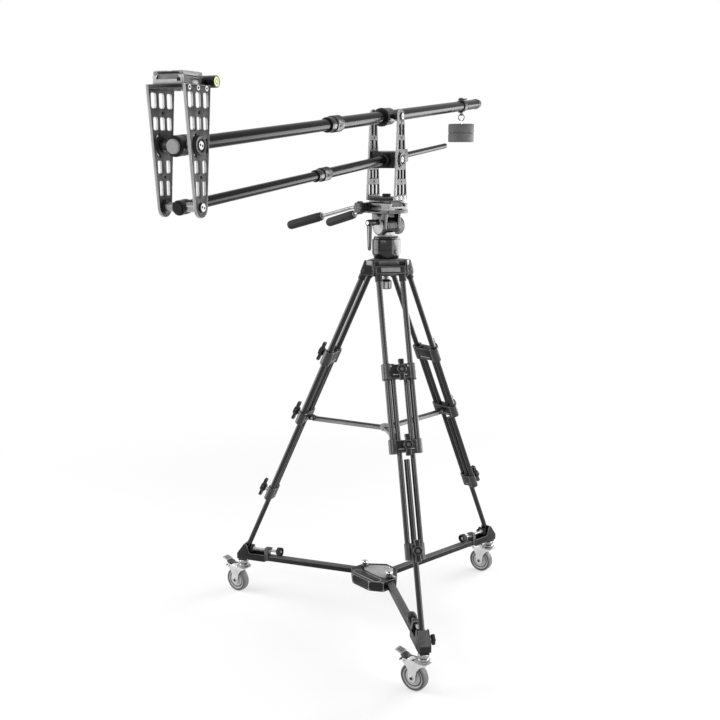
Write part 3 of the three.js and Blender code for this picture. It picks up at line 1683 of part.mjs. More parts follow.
function cameraJib(rig) {
  const group = groupAt('jib_seat', rig, 0, 0, head.plateTop + gap);
  group.rotation.z = radians(jib.turn);
  jibBracket(group);
  const upper = groupAt('boom_tilt_axis', group, 0, 0, plateLength);
  upper.rotation.y = -radians(jib.boomRise);
  boomSleeve(upper);
  boomRear(upper);
  frontTube('boom_front_tube', upper, boom, boom.ringRadius, boom.ringHalf);
  weightClamp(upper);
  counterweight(upper);
  cameraFrame(upper);
  const lower = groupAt('lower_tilt_axis', group, 0, 0, jib.plateFoot);
  lower.rotation.y = -radians(jib.boomRise);
  lowerBlock(lower);
  lowerRear(lower);
  frontTube('lower_front_tube', lower, lowerArm, lowerArm.crossRadius, lowerArm.crossHalf);
}

const rig = new THREE.Group();
dollyHub(rig);
for (const side of ['left', 'near']) {
  hubKnob(rig, side);
}
for (const side of Object.keys(armTurns)) {
  dollyArm(rig, side, side === 'left' ? -1 : 1);
  tripodLeg(rig, side);
}
tripodCrown(rig);
midSpreader(rig);
bowlClampKnob(rig);
fluidHead(rig);
cameraJib(rig);

// The origin goes to the middle of the whole outline, on the floor
const bounds = new THREE.Box3().setFromObject(rig, true);
const middle = bounds.getCenter(new THREE.Vector3());
rig.position.set(-middle.x, -middle.y, -bounds.min.z);

export default rig;
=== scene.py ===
import json
import math

import bmesh
import bpy
from mathutils import Matrix, Vector

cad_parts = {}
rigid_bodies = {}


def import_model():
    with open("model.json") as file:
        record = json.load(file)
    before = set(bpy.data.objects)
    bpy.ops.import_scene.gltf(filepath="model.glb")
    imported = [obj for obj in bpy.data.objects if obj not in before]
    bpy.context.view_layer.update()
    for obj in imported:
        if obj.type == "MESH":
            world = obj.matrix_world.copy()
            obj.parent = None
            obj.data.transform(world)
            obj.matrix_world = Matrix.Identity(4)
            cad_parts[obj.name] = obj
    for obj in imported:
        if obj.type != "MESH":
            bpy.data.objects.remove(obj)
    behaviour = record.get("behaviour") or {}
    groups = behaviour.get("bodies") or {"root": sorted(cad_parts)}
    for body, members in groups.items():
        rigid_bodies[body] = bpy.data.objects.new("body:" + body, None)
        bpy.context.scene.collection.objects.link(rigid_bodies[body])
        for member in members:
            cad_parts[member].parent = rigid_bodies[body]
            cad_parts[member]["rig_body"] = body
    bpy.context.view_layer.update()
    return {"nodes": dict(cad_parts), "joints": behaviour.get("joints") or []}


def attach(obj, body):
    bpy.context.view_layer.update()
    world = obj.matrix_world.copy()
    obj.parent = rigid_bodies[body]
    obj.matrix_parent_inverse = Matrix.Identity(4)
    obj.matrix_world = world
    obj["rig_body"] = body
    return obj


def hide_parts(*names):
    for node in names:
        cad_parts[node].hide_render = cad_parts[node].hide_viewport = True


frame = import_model()
print("frame loaded")


def newObject(name, data):
    made = bpy.data.objects.new(name, data)
    bpy.context.scene.collection.objects.link(made)
    return made


# Camera, floor and light

view = {
    "at": (-0.0043, -2.6941, 1.3570),
    "pitchDown": 11.6,
    "lens": 50.0,
    "sensor": 36.0,
    "clipEnd": 100,
}

camera = newObject("camera", bpy.data.cameras.new("camera"))
camera.data.lens = view["lens"]
camera.data.sensor_width = view["sensor"]
camera.data.clip_end = view["clipEnd"]
camera.location = view["at"]
camera.rotation_euler = (math.radians(90 - view["pitchDown"]), 0, 0)
bpy.context.scene.camera = camera
bpy.context.scene.view_settings.view_transform = "Standard"

light = {
    "sky": 0.20,
    "floorColor": 0.86,
    "floorSpeckle": 0.985,
    "floorRoughness": 0.8,
    "floorHalf": 30.0,
    "floorGlow": 0.50,
    "fadeFrom": 0.7,
    "fadeTo": 2.4,
    "lamps": [
        # name, place, aimed at, width, height, watts
        ("sideLeft", (-2.6, 0.27, 1.25), (0, 0.1, 0.85), 2.3, 2.4, 80),
        ("sideRight", (2.5, -0.67, 1.25), (0, 0.1, 0.85), 2.4, 2.4, 68),
        ("panelRight", (2.0, 1.4, 1.0), (0, 0, 1.3), 1.7, 1.3, 56),
        ("front", (-1.8, -3.6, 3.1), (0, 0, 0.9), 3.0, 1.2, 66),
        ("overhead", (-0.3, -0.2, 3.6), (0, 0.1, 0.5), 2.6, 1.0, 14),
    ],
}


# Shader expressions


class Tone:
    def __init__(self, finish, socket):
        self.finish = finish
        self.socket = socket

    def calc(self, operation, first, second):
        return self.finish.node("ShaderNodeMath", {"operation": operation}, {0: first, 1: second})

    def __add__(self, other):
        return self.calc("ADD", self, other)

    def __sub__(self, other):
        return self.calc("SUBTRACT", self, other)

    def __rsub__(self, other):
        return self.calc("SUBTRACT", other, self)

    def __mul__(self, other):
        return self.calc("MULTIPLY", self, other)

    __radd__ = __add__
    __rmul__ = __mul__


class Finish:
    def __init__(self, tree):
        self.tree = tree
        tree.nodes.clear()

    def node(self, kind, settings=None, values=None, out=0):
        made = self.tree.nodes.new(kind)
        for key, value in (settings or {}).items():
            if key == "stops":
                for element, (place, level) in zip(made.color_ramp.elements, value):
                    element.position = place
                    element.color = (level, level, level, 1)
            else:
                setattr(made, key, value)
        for key, value in (values or {}).items():
            if isinstance(value, Tone):
                self.tree.links.new(value.socket, made.inputs[key])
            else:
                made.inputs[key].default_value = value
        return Tone(self, made.outputs[out]) if made.outputs else None

    def objectPlace(self):
        return self.node("ShaderNodeTexCoord", out="Object")

    def noise(self, scale, detail=3.0, stretch=(1, 1, 1), roughness=0.55):
        place = self.node("ShaderNodeMapping", values={0: self.objectPlace(), 3: stretch})
        values = {"Vector": place, "Scale": scale, "Detail": detail, "Roughness": roughness}
        return self.node("ShaderNodeTexNoise", values=values)

    def ramp(self, value, low, high):
        return self.node("ShaderNodeValToRGB", {"stops": [(low, 0), (high, 1)]}, {0: value})

    def mixColor(self, mask, first, second):
        values = {0: mask, 6: first, 7: second}
        return self.node("ShaderNodeMix", {"data_type": "RGBA"}, values, 2)


def newMaterial(name):
    material = bpy.data.materials.new(name)
    material.use_nodes = True
    return material, Finish(material.node_tree)


def grey(level, tint=(1, 1, 1)):
    return (level * tint[0], level * tint[1], level * tint[2], 1)


finishLooks = {
    # colour, worn or dusty colour, roughness from and to, metal, specular level, grain scale, grain depth
    "boomBlack": (0.002, 0.005, 0.20, 0.26, 0.0, 0.06, 900, 0.005),
    "legBlack": (0.002, 0.005, 0.16, 0.22, 0.0, 0.42, 900, 0.005),
    "castBlack": (0.008, 0.022, 0.36, 0.52, 0.0, 0.18, 1500, 0.16),
    "castEdge": (0.07, 0.15, 0.32, 0.50, 0.40, 0.50, 1200, 0.10),
    "castGrey": (0.055, 0.095, 0.50, 0.66, 0.0, 0.25, 1300, 0.12),
    # light grey for the ridge lines on the leg castings and the rims on the dolly hub: painted highlight
    "trimLine": (0.26, 0.38, 0.32, 0.48, 0.40, 0.50, 1200, 0.06),
    "sleeve": (0.018, 0.045, 0.22, 0.36, 0.20, 0.50, 1200, 0.06),
    "platePaint": (0.030, 0.055, 0.40, 0.55, 0.0, 0.15, 1800, 0.14),
    "framePaint": (0.018, 0.036, 0.42, 0.58, 0.0, 0.10, 1800, 0.14),
    # lighter grey for the outer walls and bevels of the side plates: painted highlight on the plate's edge
    "plateEdge": (0.30, 0.40, 0.40, 0.55, 0.30, 0.50, 900, 0.06),
    "aluminium": (0.44, 0.56, 0.38, 0.52, 0.45, 0.50, 1100, 0.05),
    "silverCap": (0.34, 0.44, 0.38, 0.50, 0.06, 0.50, 1500, 0.06),
    "headPaint": (0.006, 0.014, 0.14, 0.26, 0.0, 0.40, 1400, 0.04),
    "zinc": (0.60, 0.76, 0.14, 0.28, 1.0, 0.50, 700, 0.04),
    "boreMetal": (0.55, 0.68, 0.35, 0.50, 0.55, 0.50, 900, 0.04),
    "clampGrey": (0.16, 0.25, 0.40, 0.55, 0.40, 0.40, 1100, 0.06),
    "barGrey": (0.24, 0.36, 0.22, 0.34, 0.85, 0.50, 1000, 0.04),
    "knobChrome": (0.10, 0.17, 0.14, 0.24, 1.0, 0.50, 900, 0.03),
    "tyre": (0.115, 0.17, 0.50, 0.68, 0.0, 0.40, 1300, 0.12),
    "wheelGrey": (0.34, 0.44, 0.36, 0.52, 0.0, 0.50, 1100, 0.06),
    "pedalGrey": (0.36, 0.46, 0.38, 0.55, 0.0, 0.50, 1200, 0.10),
    "iron": (0.070, 0.125, 0.58, 0.74, 0.0, 0.30, 1600, 0.18),
    "foam": (0.008, 0.020, 0.62, 0.82, 0.0, 0.25, 2600, 0.35),
    "plastic": (0.005, 0.013, 0.24, 0.40, 0.0, 0.25, 1500, 0.08),
    "rubber": (0.006, 0.016, 0.65, 0.85, 0.0, 0.20, 1800, 0.20),
    "steel": (0.32, 0.44, 0.28, 0.42, 0.95, 0.50, 800, 0.04),
    "coverGrey": (0.30, 0.40, 0.50, 0.66, 0.0, 0.25, 1300, 0.08),
    "capGrey": (0.20, 0.27, 0.40, 0.55, 0.1, 0.40, 1400, 0.08),
    "spirit": (0.62, 0.74, 0.05, 0.12, 0.0, 0.50, 300, 0.0),
}
tints = {"spirit": (1.0, 1.08, 0.52)}
wear = {
    # noise scale and detail, stretch, then where its ramp starts and ends
    "patches": (26, 4.0, (1, 1, 1), 0.38, 0.68),
    "scuffs": (240, 5.0, (1, 1, 0.35), 0.52, 0.74),
    "colorShares": (0.55, 0.45),
    "roughShares": (0.4, 0.3, 0.3),
    "bumpHeight": 0.0004,
}


def makeFinish(name, look):
    color, dust, low, high, metal, specular, grainScale, depth = look
    material, finish = newMaterial(name)
    tint = tints.get(name, (1, 1, 1))
    patches, scuffs = (finish.ramp(finish.noise(*wear[kind][:3]), *wear[kind][3:])
                       for kind in ("patches", "scuffs"))
    grain = finish.noise(grainScale, 2.0)
    mask = patches * wear["colorShares"][0] + scuffs * wear["colorShares"][1]
    patchShare, scuffShare, grainShare = wear["roughShares"]
    values = {
        "Base Color": finish.mixColor(mask, grey(color, tint), grey(dust, tint)),
        "Roughness": low + (high - low) * (patches * patchShare + scuffs * scuffShare + grain * grainShare),
        "Metallic": metal,
        "Specular IOR Level": specular,
    }
    if depth:
        bump = {"Height": grain, "Strength": depth, "Distance": wear["bumpHeight"]}
        values["Normal"] = finish.node("ShaderNodeBump", values=bump)
    shader = finish.node("ShaderNodeBsdfPrincipled", values=values)
    finish.node("ShaderNodeOutputMaterial", values={"Surface": shader})
    return material


finishes = {name: makeFinish(name, look) for name, look in finishLooks.items()}


def seenRays(finish):
    # camera, mirror and glass rays see the plain background
    rays = finish.node("ShaderNodeLightPath", out="Is Camera Ray")
    for kind in ("Is Glossy Ray", "Is Transmission Ray"):
        rays = rays.calc("MAXIMUM", rays, finish.node("ShaderNodeLightPath", out=kind))
    return rays


def buildStage():
    world = bpy.data.worlds.new("studio")
    bpy.context.scene.world = world
    world.use_nodes = True
    finish = Finish(world.node_tree)
    rays = seenRays(finish)
    strength = light["sky"] + rays * (1 - light["sky"])
    sky = finish.node("ShaderNodeBackground", values={0: grey(1.0), 1: strength})
    finish.node("ShaderNodeOutputWorld", values={0: sky})

    floorMaterial, finish = newMaterial("paleFloor")
    rays = seenRays(finish)
    distance = finish.node("ShaderNodeVectorMath", {"operation": "LENGTH"}, {0: finish.objectPlace()}, 1)
    fade = finish.node("ShaderNodeMapRange", {"interpolation_type": "SMOOTHSTEP"}, {
        0: distance, 1: light["fadeFrom"], 2: light["fadeTo"], 3: 0.0, 4: 1.0})
    glow = light["floorGlow"] + fade * (1 - light["floorGlow"])
    speckle = finish.ramp(finish.noise(60, 4.0), 0.3, 0.7)
    base = light["floorColor"]
    color = finish.mixColor(speckle, grey(base), grey(base * light["floorSpeckle"]))
    values = {"Base Color": color, "Roughness": light["floorRoughness"]}
    matte = finish.node("ShaderNodeBsdfPrincipled", values=values)
    plain = finish.node("ShaderNodeEmission", values={0: grey(1.0), 1: 1.0})
    surface = finish.node("ShaderNodeMixShader", values={0: rays * glow, 1: matte, 2: plain})
    finish.node("ShaderNodeOutputMaterial", values={0: surface})

    shape = bmesh.new()
    bmesh.ops.create_grid(shape, x_segments=8, y_segments=8, size=light["floorHalf"])
    mesh = bpy.data.meshes.new("floor")
    shape.to_mesh(mesh)
    shape.free()
    mesh.materials.append(floorMaterial)
    newObject("floor", mesh)

    for name, at, aim, width, height, watts in light["lamps"]:
        data = bpy.data.lights.new(name, "AREA")
        data.shape = "RECTANGLE"
        data.size = width
        data.size_y = height
        data.energy = watts
        lamp = newObject(name, data)
        lamp.visible_camera = False
        lamp.location = at
        lamp.rotation_euler = (Vector(aim) - Vector(at)).to_track_quat("-Z", "Y").to_euler()


buildStage()
print("stage and finishes built")

# Shapes, in millimetres

shaping = {
    "weld": 0.001,
    "edgeAngle": 40,
    "slabEdgeAngle": 50,
    "smoothAngle": 33,
}
axisTurns = {
    "X": Matrix(),
    "Y": Matrix.Rotation(math.pi / 2, 4, "Z"),
    "Z": Matrix.Rotation(-math.pi / 2, 4, "Y"),
}
axisSwaps = {
    "X": Matrix(((0, 1, 0, 0), (1, 0, 0, 0), (0, 0, 1, 0), (0, 0, 0, 1))),
    "Z": Matrix(((1, 0, 0, 0), (0, 0, 1, 0), (0, 1, 0, 0), (0, 0, 0, 1))),
}


def span(way, near, far):
    # a low and a high place on the side that way, 1 or -1, names
    return sorted((way * near, way * far))


def bothEnds(points):
    # a profile from its first half
    return points + [(-along, radius) for along, radius in reversed(points)]


def bothSides(points):
    # an outline from its first half
    return points + [(x, -y) for x, y in reversed(points)]


def moved(along, points, up=0):
    # profile or outline points, moved along the axis and up
    return [(along + first, up + second) for first, second in points]


def onlyVerts(items):
    return [item for item in items if isinstance(item, bmesh.types.BMVert)]


def lathe(profile, axis="X", steps=48, ring=False):
    # profile points are (place along the axis, radius)
    shape = bmesh.new()
    verts = [shape.verts.new((along, 0, radius)) for along, radius in profile]
    pairs = list(zip(verts, verts[1:]))
    if ring:
        pairs.append((verts[-1], verts[0]))
    edges = [shape.edges.new(pair) for pair in pairs]
    bmesh.ops.spin(shape, geom=verts + edges, cent=(0, 0, 0), axis=(1, 0, 0), dvec=(0, 0, 0),
                   angle=math.tau, steps=steps, use_merge=True, use_duplicate=False)
    bmesh.ops.remove_doubles(shape, verts=shape.verts, dist=shaping["weld"])
    bmesh.ops.dissolve_degenerate(shape, dist=shaping["weld"] / 2, edges=shape.edges)
    bmesh.ops.recalc_face_normals(shape, faces=shape.faces)
    bmesh.ops.transform(shape, matrix=axisTurns[axis], verts=shape.verts)
    return shape


def shifted(shape, x=0, y=0, z=0):
    bmesh.ops.translate(shape, vec=(x, y, z), verts=shape.verts)
    return shape


def mirroredY(shape):
    bmesh.ops.scale(shape, vec=(1, -1, 1), verts=shape.verts)
    bmesh.ops.reverse_faces(shape, faces=shape.faces)
    return shape


def rod(radius, low, high, axis="X", chamfer=0.6, steps=40, bore=0):
    profile = [(low, bore), (low, radius - chamfer), (low + chamfer, radius),
               (high - chamfer, radius), (high, radius - chamfer), (high, bore)]
    return lathe(profile, axis, steps, bore > 0)


def pipe(outer, inner, low, high, axis="X", chamfer=0.4, steps=48):
    return rod(outer, low, high, axis, chamfer, steps, inner)


def eased(shape, width, segments=2, angle=shaping["edgeAngle"]):
    # rounds the sharp edges, and marks the new faces for the edge finish
    if width <= 0:
        return shape
    sharp = [e for e in shape.edges if len(e.link_faces) == 2 and e.calc_face_angle(0) > math.radians(angle)]
    made = bmesh.ops.bevel(shape, geom=sharp, offset=width, offset_type="OFFSET", segments=segments,
                           profile=0.5, affect="EDGES", clamp_overlap=True, material=-1)
    for face in made["faces"]:
        face.material_index = 1
    return shape


def block(x, y, z, bevel=1.2, segments=2):
    # a side is (low, high), or one number for half of a centred side
    sides = [(-side, side) if isinstance(side, (int, float)) else side for side in (x, y, z)]
    shape = bmesh.new()
    bmesh.ops.create_cube(shape, size=1)
    bmesh.ops.scale(shape, vec=[high - low for low, high in sides], verts=shape.verts)
    shifted(shape, *[(low + high) / 2 for low, high in sides])
    return eased(shape, bevel, segments)


def nearestOn(spot, a, b):
    run = b - a
    share = max(0.0, min(1.0, (spot - a).dot(run) / max(run.length_squared, 1e-9)))
    return a + run * share


def slab(outline, low, high, axis="Y", holes=(), bevel=0.8, segments=2, bores=0):
    # a flat outline of (first, second) points: XZ for Y, XY for Z, YZ for X
    shape = bmesh.new()
    edges = []
    for loop in (outline, *holes):
        ring = [shape.verts.new((a, low, b)) for a, b in loop]
        edges += [shape.edges.new(pair) for pair in zip(ring, ring[1:] + ring[:1])]
    bmesh.ops.triangle_fill(shape, use_beauty=True, use_dissolve=not holes, edges=edges)
    grown = bmesh.ops.extrude_face_region(shape, geom=shape.faces[:])
    bmesh.ops.translate(shape, vec=(0, high - low, 0), verts=onlyVerts(grown["geom"]))
    bmesh.ops.recalc_face_normals(shape, faces=shape.faces)
    eased(shape, bevel, segments, shaping["slabEdgeAngle"])
    if holes:
        # the outer wall takes the edge finish, the walls of the first holes the bore finish
        reach = bevel + 0.01
        loops = [[Vector((a, 0, b)) for a, b in loop] for loop in (outline, *holes)]
        for face in shape.faces:
            spot = face.calc_center_median()
            spot.y = 0
            near = [min((spot - nearestOn(spot, a, b)).length for a, b in zip(loop, loop[1:] + loop[:1]))
                    for loop in loops]
            inBore = bores and abs(face.normal.y) < 0.1 and min(near[1:bores + 1]) == min(near)
            atEdge = near[0] < reach and near[0] == min(near)
            face.material_index = 2 if inBore else 1 if atEdge else 0
    if axis in axisSwaps:
        bmesh.ops.transform(shape, matrix=axisSwaps[axis], verts=shape.verts)
        bmesh.ops.reverse_faces(shape, faces=shape.faces)
    return shape


def arc(x, z, radius, start, end, steps=10):
    places = [math.radians(start + (end - start) * i / steps) for i in range(steps + 1)]
    return [(x + radius * math.cos(a), z + radius * math.sin(a)) for a in places]


def sweep(path, radius, sides=24):
    points = [Vector(point) for point in path]
    runs = [(b - a).normalized() for a, b in zip(points, points[1:])]
    heads = runs[:1] + [(a + b).normalized() for a, b in zip(runs, runs[1:])] + runs[-1:]
    shape = bmesh.new()
    bmesh.ops.create_circle(shape, cap_ends=True, segments=sides, radius=radius)
    start = Matrix.Translation(points[0]) @ heads[0].to_track_quat("Z", "Y").to_matrix().to_4x4()
    bmesh.ops.transform(shape, matrix=start, verts=shape.verts)
    cap = shape.faces[:][0]
    for index in range(1, len(points)):
        grown = bmesh.ops.extrude_face_region(shape, geom=[cap])["geom"]
        ring = onlyVerts(grown)
        cap = next(item for item in grown if isinstance(item, bmesh.types.BMFace))
        bmesh.ops.translate(shape, vec=points[index] - points[index - 1], verts=ring)
        bendTurn = heads[index - 1].rotation_difference(heads[index]).to_matrix()
        bmesh.ops.rotate(shape, cent=points[index], matrix=bendTurn, verts=ring)
    bmesh.ops.recalc_face_normals(shape, faces=shape.faces)
    return shape


def fluted(shape, axis, count, depth, low, high, outside):
    # presses grooves into a turned shape, between two places along its axis
    along = "XYZ".index(axis)
    first, second = (along + 1) % 3, (along + 2) % 3
    for vert in shape.verts:
        radius = math.hypot(vert.co[first], vert.co[second])
        if low <= vert.co[along] <= high and radius > outside:
            angle = math.atan2(vert.co[second], vert.co[first])
            pull = 1 - depth / radius * (0.5 - 0.5 * math.cos(count * angle))
            vert.co[first] *= pull
            vert.co[second] *= pull
    return shape


def gripKnob(radius, low, high, axis="X", lobes=8, depth=1.6, bevel=2.0):
    profile = [(low, 0), (low, radius * 0.55), (low + 0.5, radius - bevel), (low + bevel, radius),
               (high - bevel, radius), (high - 0.5, radius - bevel), (high, radius * 0.5), (high, 0)]
    shape = lathe(profile, axis, lobes * 8)
    return fluted(shape, axis, lobes, depth, low - 1, high + 1, radius * 0.7)


# Pieces: a part is (shape, finish, edge finish, bore finish), and the last two may be left out

toMetres = Matrix.Scale(0.001, 4)
castPair = ("castBlack", "castEdge")
headPair = ("headPaint", "castEdge")
plasticPair = ("plastic", "castEdge")


def dress(node, place, parts):
    # one object for one node
    whole = bmesh.new()
    mesh = bpy.data.meshes.new(f"{node}_dressed")
    names = []
    for shape, *pair in parts:
        pair = pair * 3 if len(pair) == 1 else (*pair, pair[0])[:3]
        for name in pair:
            if name not in names:
                names.append(name)
        for face in shape.faces:
            face.material_index = names.index(pair[min(face.material_index, 2)])
            face.smooth = True
        shape.to_mesh(mesh)
        whole.from_mesh(mesh)
        shape.free()
    bmesh.ops.transform(whole, matrix=place @ toMetres, verts=whole.verts)
    whole.to_mesh(mesh)
    whole.free()
    for name in names:
        mesh.materials.append(finishes[name])
    mesh.set_sharp_from_angle(angle=math.radians(shaping["smoothAngle"]))
    piece = newObject(f"{node}_dressed", mesh)
    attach(piece, frame["nodes"][node]["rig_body"])
    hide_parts(node)


def shift(x=0.0, y=0.0, z=0.0):
    return Matrix.Translation((x * 0.001, y * 0.001, z * 0.001))


def turn(degrees, axis="Z"):
    return Matrix.Rotation(math.radians(degrees), 4, axis)


def placed(parts, x=0, y=0, z=0):
    return [(shifted(shape, x, y, z), *rest) for shape, *rest in parts]


def turned(parts, degrees, axis="Z"):
    for shape, *rest in parts:
        bmesh.ops.rotate(shape, cent=(0, 0, 0), matrix=turn(degrees, axis).to_3x3(), verts=shape.verts)
    return parts


def toSide(parts, way):
    # parts are made on the +Y side, and mirrored for the other
    return [(shape if way > 0 else mirroredY(shape), *rest) for shape, *rest in parts]


bowlAt = next(joint["pos_m"] for joint in frame["joints"] if joint["name"] == "bowl_knob_turn")
centre = Matrix.Translation((bowlAt[0], bowlAt[1], 0))
armTurns = {"near": -79.0, "left": -199.0, "right": 41.0}
armPlaces = {side: centre @ turn(angle) for side, angle in armTurns.items()}

# Casters: X runs from the swivel towards the wheel

caster = {
    "setback": 465,
    "trailTurn": 145,
    "trail": 26,
    "wheelRadius": 37.5,
    "halfTread": 11,
    "legInner": 12.4,
    "legOuter": 15.4,
    "crownLow": 82,
    "crownTop": 86,
    "pedalBack": 48,
    "pedalReach": 32,
    "pedalRise": 20,
    "pedalHalf": 11.6,
}


def casterWheel(side, place):
    radius, half = caster["wheelRadius"], caster["halfTread"]
    tread = moved(-half, [(0.4, 28.6), (0, 29.4), (0, 31.0), (0.9, 31.6), (0.9, 33.0), (0.2, 33.6),
                          (0.6, 35.6), (2.6, 37.2), (5, radius)])
    core = [(-12, 4.4), (-12, 8.6), (-11.4, 9.4), (-9.4, 10.2), (-8.6, 12), (-8.6, 15.6), (-9.6, 16.6),
            (-9.6, 20.6), (-8.2, 22), (-8.2, 25.4), (-10.2, 27), (-10.4, 28.8)]
    dress(f"caster_wheel_{side}", place @ shift(caster["trail"], 0, radius), [
        (lathe(bothEnds(tread), "Y", 64, True), "tyre"),
        (lathe(bothEnds(core), "Y", 64, True), "wheelGrey"),
        # the black ring set into the groove of each tyre face: painted shade in the groove
        (pipe(33.2, 31.4, -10.4, 10.4, "Y", 0.2, 64), "plastic"),
        (pipe(25.6, 21.6, -8.5, 8.5, "Y", 0.2, 64), "castGrey"),
    ])


def forkCheek(way):
    top = caster["crownTop"]
    outline = [(-16, top), (-16, caster["crownLow"]), (2, 72), (11, 60), (15.2, 42)]
    outline += arc(caster["trail"], caster["wheelRadius"], 11, 180, 360, 14)
    outline += [(39, 60), (45, 68), (54, 76), (55, 81), (54, top)]
    return slab(outline, *span(way, caster["legInner"], caster["legOuter"]), bevel=0.7)


def casterFork(side, place):
    top, outer = caster["crownTop"], caster["legOuter"]
    hubX, hubZ, backX = caster["trail"], caster["wheelRadius"], caster["pedalBack"]
    race = [(0, 0), (0, 21.4), (1.0, 22), (2.4, 21.6), (3.2, 20), (4.4, 20), (5.4, 18.8), (6.0, 15.6),
            (8.6, 15.2), (11.4, 12.6), (12.5, 9), (12.7, 0)]
    plate = bothSides([(-16, -outer), (18, -outer), (22, -10)])
    parts = [(forkCheek(way), "zinc") for way in (-1, 1)]
    parts += [(slab(plate, caster["crownLow"], top, "Z", bevel=0.9), "zinc"),
              (lathe(moved(top, race), "Z", 56), "barGrey")]
    # nut, bolt end and rivet: radius, from, to, chamfer, steps, x, z
    heads = [(7.2, -1, 2.2, 0.8, 6, hubX, hubZ, "steel"),
             (3.4, 0, 4, 0.6, 20, hubX, hubZ, "castBlack"),
             (3.2, -0.5, 1.1, 0.9, 20, backX, top - 4, "steel")]
    for way in (-1, 1):
        for radius, start, end, chamfer, steps, x, z, finish in heads:
            head = rod(radius, *span(way, outer + start, outer + end), "Y", chamfer, steps)
            parts.append((shifted(head, x, 0, z), finish))
    parts += [(shifted(rod(4, -outer, outer, "Y"), hubX, 0, hubZ), "steel"),
              (shifted(rod(1.6, -outer, outer, "Y", 0.3, 12), backX, 0, top), "steel")]
    dress(f"caster_fork_{side}", place, parts)


def casterBrake(side, place):
    reach, rise, half = caster["pedalReach"], caster["pedalRise"], caster["pedalHalf"]
    pad = [(12, 6.6), (reach - 4, rise - 8), (reach, rise - 7), (reach, rise - 4), (reach - 2, rise - 3.4),
           (14, 12.6), (9, 10.8)]
    lever = [(-5, 1), (-4, -3), (4, -4), (15, 3.4), (15, 8.6), (5, 7.6), (-2, 5)]
    spur = [(0, -2), (19, -13), (21, -11.6), (20, -8), (4, 2)]
    parts = [(slab(line, inset - half, half - inset, bevel=bevel), finish) for line, inset, bevel, finish in (
        (pad, 0, 1.1, "pedalGrey"), (lever, 0.8, 0.9, "castGrey"), (spur, 3, 0.8, "castGrey"))]
    parts.append((rod(4, -half, half, "Y", 0.6, 24), "castBlack"))
    for x, z in ((15, 13), (20, 14.2), (25, 15.4)):
        parts.append((shifted(block(0.9, half - 2, (-0.6, 0.5), 0.3), x, 0, z), "castGrey"))
    dress(f"caster_brake_{side}", place, placed(parts, caster["pedalBack"], 0, caster["crownTop"]))


for side, angle in armTurns.items():
    swivel = armPlaces[side] @ shift(caster["setback"]) @ turn(caster["trailTurn"] - angle)
    casterFork(side, swivel)
    casterWheel(side, swivel)
    casterBrake(side, swivel)
print("casters built")

# Dolly

dolly = {
    "reach": 480,
    "armTop": 134,
    "armLow": 118,
    "armHalf": 11,
    "footInner": 385,
    "footHalf": 17,
    "wall": 4,
    "screwZ": 150,
    "padOuter": 437.4,
    "knobAt": (452, 0, 138),
}


def dollyArm(side, place, way):
    inner, reach, wall, half = dolly["footInner"], dolly["reach"], dolly["wall"], dolly["footHalf"]
    top, screwZ, bed = dolly["armTop"], dolly["screwZ"], half - 0.2
    wallLine = [(inner, 116), (reach, 116), (reach, 134), (457, 166), (447, 166), (438, 138), (inner, 138)]
    hood = [(reach - 0.2, 133.6), (457, 165.8), (452, 165.8), (474, 133.6)]
    tab = [(-13, 118), (13, 118), (13, 134), (9.5, 156), (8, 158), (-8, 158), (-9.5, 156), (-13, 134)]
    cup = [(99, 0), (99, 12.6), (100, 14), (103, 15), (107, 14.8), (110.4, 12.6), (112, 9), (112, 0)]
    parts = [(block((24, inner + 2), dolly["armHalf"], (dolly["armLow"], top), 1.6), *castPair)]
    for wallWay in (-1, 1):
        parts.append((slab(wallLine, *span(wallWay, half, half - wall), bevel=0.9), *castPair))
    parts += [
        (block((inner + 0.2, reach - 1), bed, (116.2, 120), 0.6), "castBlack"),
        (block((inner + 0.1, inner + wall), bed, (117, 137.6), 0.8), *castPair),
        # the sloping hood is lighter grey than the black casting: painted light on its upper face
        (slab(hood, -bed, bed, bevel=0.8), "castGrey", "castEdge"),
        (block((475, reach - 0.4), bed, (117, 134), 0.8), "castBlack"),
        # the thin strip along the arm's top is lighter grey than the black casting: painted highlight along
        # the top
        (block((26, 375), 9.4, (top - 1, top + 0.2), 0.15), "castGrey"),
        # clamp tab with its lip and washer, then the caster's stem block and cup
        (slab(tab, 377, 389, "X", [arc(0, screwZ, 4.8, 345, 0, 23)], 0.9), "castBlack", "castGrey"),
        (block((368, 380), 9, (154.6, 158), 0.8), *castPair),
        (shifted(pipe(7, 4.6, 375.6, 378, steps=24), 0, 0, screwZ), "steel"),
        (block((452, 478), 13, (109, 117), 1.4), "rubber"),
        (shifted(lathe(cup, "Z", 56), caster["setback"]), "barGrey"),
    ]
    knob = [(rod(4, 14, 24, "Y", 0.4, 20), "steel"), (rod(7.5, 17, 19.2, "Y", 0.5, 28), "steel"),
            (gripKnob(14.5, 22.4, 33.0, "Y", 5, 3.6, 1.8), "plastic"),
            (rod(4.4, 32.4, 33.8, "Y", 0.5, 6), "steel")]
    dress(f"dolly_arm_{side}", place, parts + placed(toSide(knob, way), *dolly["knobAt"]))


